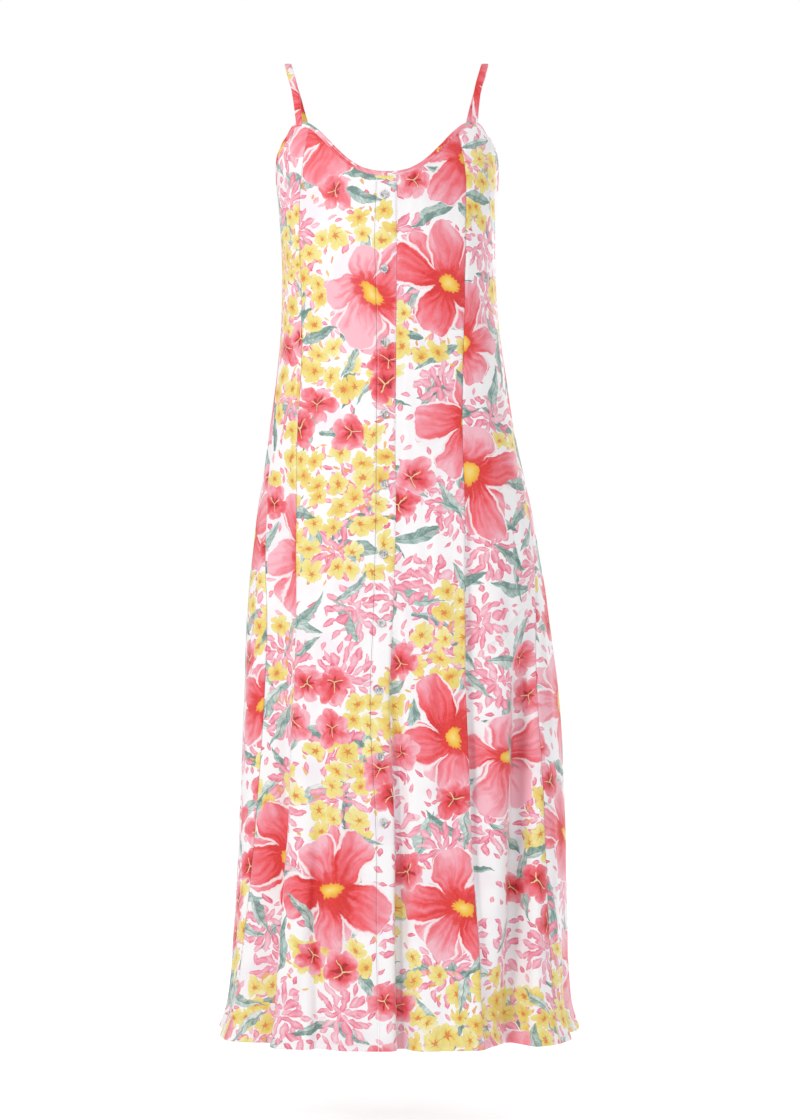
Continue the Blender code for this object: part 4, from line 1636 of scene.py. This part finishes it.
def pearl_material():
    """Polished pearly resin: milky white with faint grey and pink drifts under a gloss."""
    material, tree = new_finish("pearl_resin")
    spot = Spot(step(tree, "ShaderNodeTexCoord").outputs["Object"])
    drift, _ = noise(spot, 0.006, 3.0, "3D")
    grain, _ = noise(spot, 0.0009, 2.0, "3D")
    tone = wash(
        drift + (grain - 0.5) * 0.25,
        (0.30, "#7E8084"), (0.43, "#B3B1B5"), (0.55, "#E8E4E3"), (0.72, "#C6C0C7"),
    )
    looks = {
        "Base Color": tone * LIGHT_SENT_BACK,
        "Roughness": drift * 0.12 + 0.14,
        "Coat Weight": 0.8,
        "Coat Roughness": 0.06,
        "Subsurface Weight": 0.15,
        "Subsurface Scale": 0.002,
    }
    shade(tree, looks)
    return material


# %% Set the buttons and sew them on
setting, setting_inputs = setting_tree()
centres, outs = (np.array(part) for part in zip(*button_places))
asides = unit(np.cross(outs, (0.0, 0.0, 1.0)))
button_points = marked("button_points", centres, [], out=outs, aside=asides)
button_nodes = [f"button_{number + 1:02d}" for number in range(BUTTON_COUNT)]
sets = {
    # name: the piece to set, its finish, its slot
    "shirt_buttons": (drilled_button(), pearl_material(), "button"),
    "button_threads": (crossed_threads(), sewing_thread, "printed_cloth"),
}
for name, (master, finish, slot) in sets.items():
    values = {"Piece": master, "Largest Turn": 0.6, "Seed": 5, "Finish": finish}
    made = grown(button_points, setting, setting_inputs, values, name)
    bpy.data.objects.remove(master)
    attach(made, "root")
    if name == "shirt_buttons":
        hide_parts(*button_nodes)
    print(name, "faces:", len(made.data.polygons))
bpy.data.objects.remove(button_points)

# %% Buttonholes
BUTTONHOLE_HALF = 0.0072
BUTTONHOLE_POINTS = 9
SATIN_ASIDE = 0.00052
SATIN_RISE = 0.00005


def buttonhole_lines():
    """Two upright lines of satin stitch, one on each side of every buttonhole's slit."""
    lines = []
    for number in range(BUTTON_COUNT):
        steps = np.linspace(-BUTTONHOLE_HALF, BUTTONHOLE_HALF, BUTTONHOLE_POINTS)
        drop = button_drop(number) + steps
        point, along, out = surface_frame(np.full_like(drop, BUTTON_ACROSS), drop)
        for side in (-1, 1):
            place = point + out * (LAP + SATIN_RISE) + along * side * SATIN_ASIDE
            lines.append((place, out))
    return lines


sew(
    "buttonholes", buttonhole_lines(), Pitch=0.00042, Stitch_Length=0.00036,
    Stitch_Width=0.00100, Stitch_Height=0.00050, Unevenness=0.1, Seed=13,
)

# %% [markdown]
# The camera looks level at the middle of the dress from 3.7 m, as the photograph was
# taken. Around it is a plain white studio. The sky looks pure white to the camera but
# lights the dress less, and a large soft lamp at the front left adds the rest, so that
# every fold has a lit side and a shaded side. A weak one at the right opens the shade,
# and one behind does the same for the back, which no camera at the front sees.
# The floor glows faintly, which keeps the shadow under the hem pale.

# %% Camera, lights and floor
CAMERA_PLACE = (0.0189, -3.7, -0.6944)
CAMERA_LENS = 84.95
CAMERA_SENSOR = 36
MIDDLE = (0, 0, -0.6)
FLOOR_DROP = 1.47
FLOOR_RADIUS = 14
FLOOR_SEGMENTS = 96
FLOOR_GREY = (0.4, 0.4, 0.4, 1)
FLOOR_GLOW = 0.76
SKY_LIGHT = 0.67
LAMPS = (
    # name, place, size, power, colour
    ("key", (-2.2, -2.8, 1.1), 1.2, 66, (1.0, 0.985, 0.97)),
    ("fill", (3.0, -2.2, 0.3), 2.4, 17, (0.97, 0.98, 1.0)),
    ("rear", (2.0, 2.9, 1.1), 1.4, 60, (1.0, 0.985, 0.97)),
)


def make_camera():
    data = bpy.data.cameras.new("camera")
    data.lens = CAMERA_LENS
    data.sensor_width = CAMERA_SENSOR
    camera = in_scene("camera", data)
    camera.location = CAMERA_PLACE
    camera.rotation_euler = (math.radians(90), 0, 0)
    bpy.context.scene.camera = camera


def make_lamp(name, place, size, power, colour):
    data = bpy.data.lights.new(name, "AREA")
    data.shape = "DISK"
    data.size = size
    data.energy = power
    data.color = colour
    lamp = in_scene(name, data)
    lamp.location = place
    lamp.rotation_euler = (Vector(MIDDLE) - Vector(place)).to_track_quat("-Z", "Y").to_euler()


def make_floor():
    disc = bmesh.new()
    bmesh.ops.create_circle(
        disc, cap_ends=True, segments=FLOOR_SEGMENTS, radius=FLOOR_RADIUS
    )
    bmesh.ops.translate(disc, verts=disc.verts, vec=(0, 0, -FLOOR_DROP))
    floor = mesh_of("floor", disc)
    material, tree = new_finish("pale_floor")
    looks = {
        "Base Color": FLOOR_GREY,
        "Roughness": 0.9,
        "Specular IOR Level": 0.0,
        "Emission Color": (1, 1, 1, 1),
        "Emission Strength": FLOOR_GLOW,
    }
    shade(tree, looks)
    floor.data.materials.append(material)


def make_world():
    """A sky that is pure white to the camera and lights the dress less."""
    world = bpy.data.worlds.new("white_studio")
    bpy.context.scene.world = world
    world.use_nodes = True
    sky = world.node_tree.nodes["Background"]
    sky.inputs["Color"].default_value = (1.0, 1.0, 1.0, 1)
    seen = Flow(step(world.node_tree, "ShaderNodeLightPath").outputs["Is Camera Ray"])
    feed(seen * (1 - SKY_LIGHT) + SKY_LIGHT, sky.inputs["Strength"])


make_camera()
make_world()
make_floor()
for lamp in LAMPS:
    make_lamp(*lamp)
bpy.context.scene.view_settings.view_transform = "Standard"
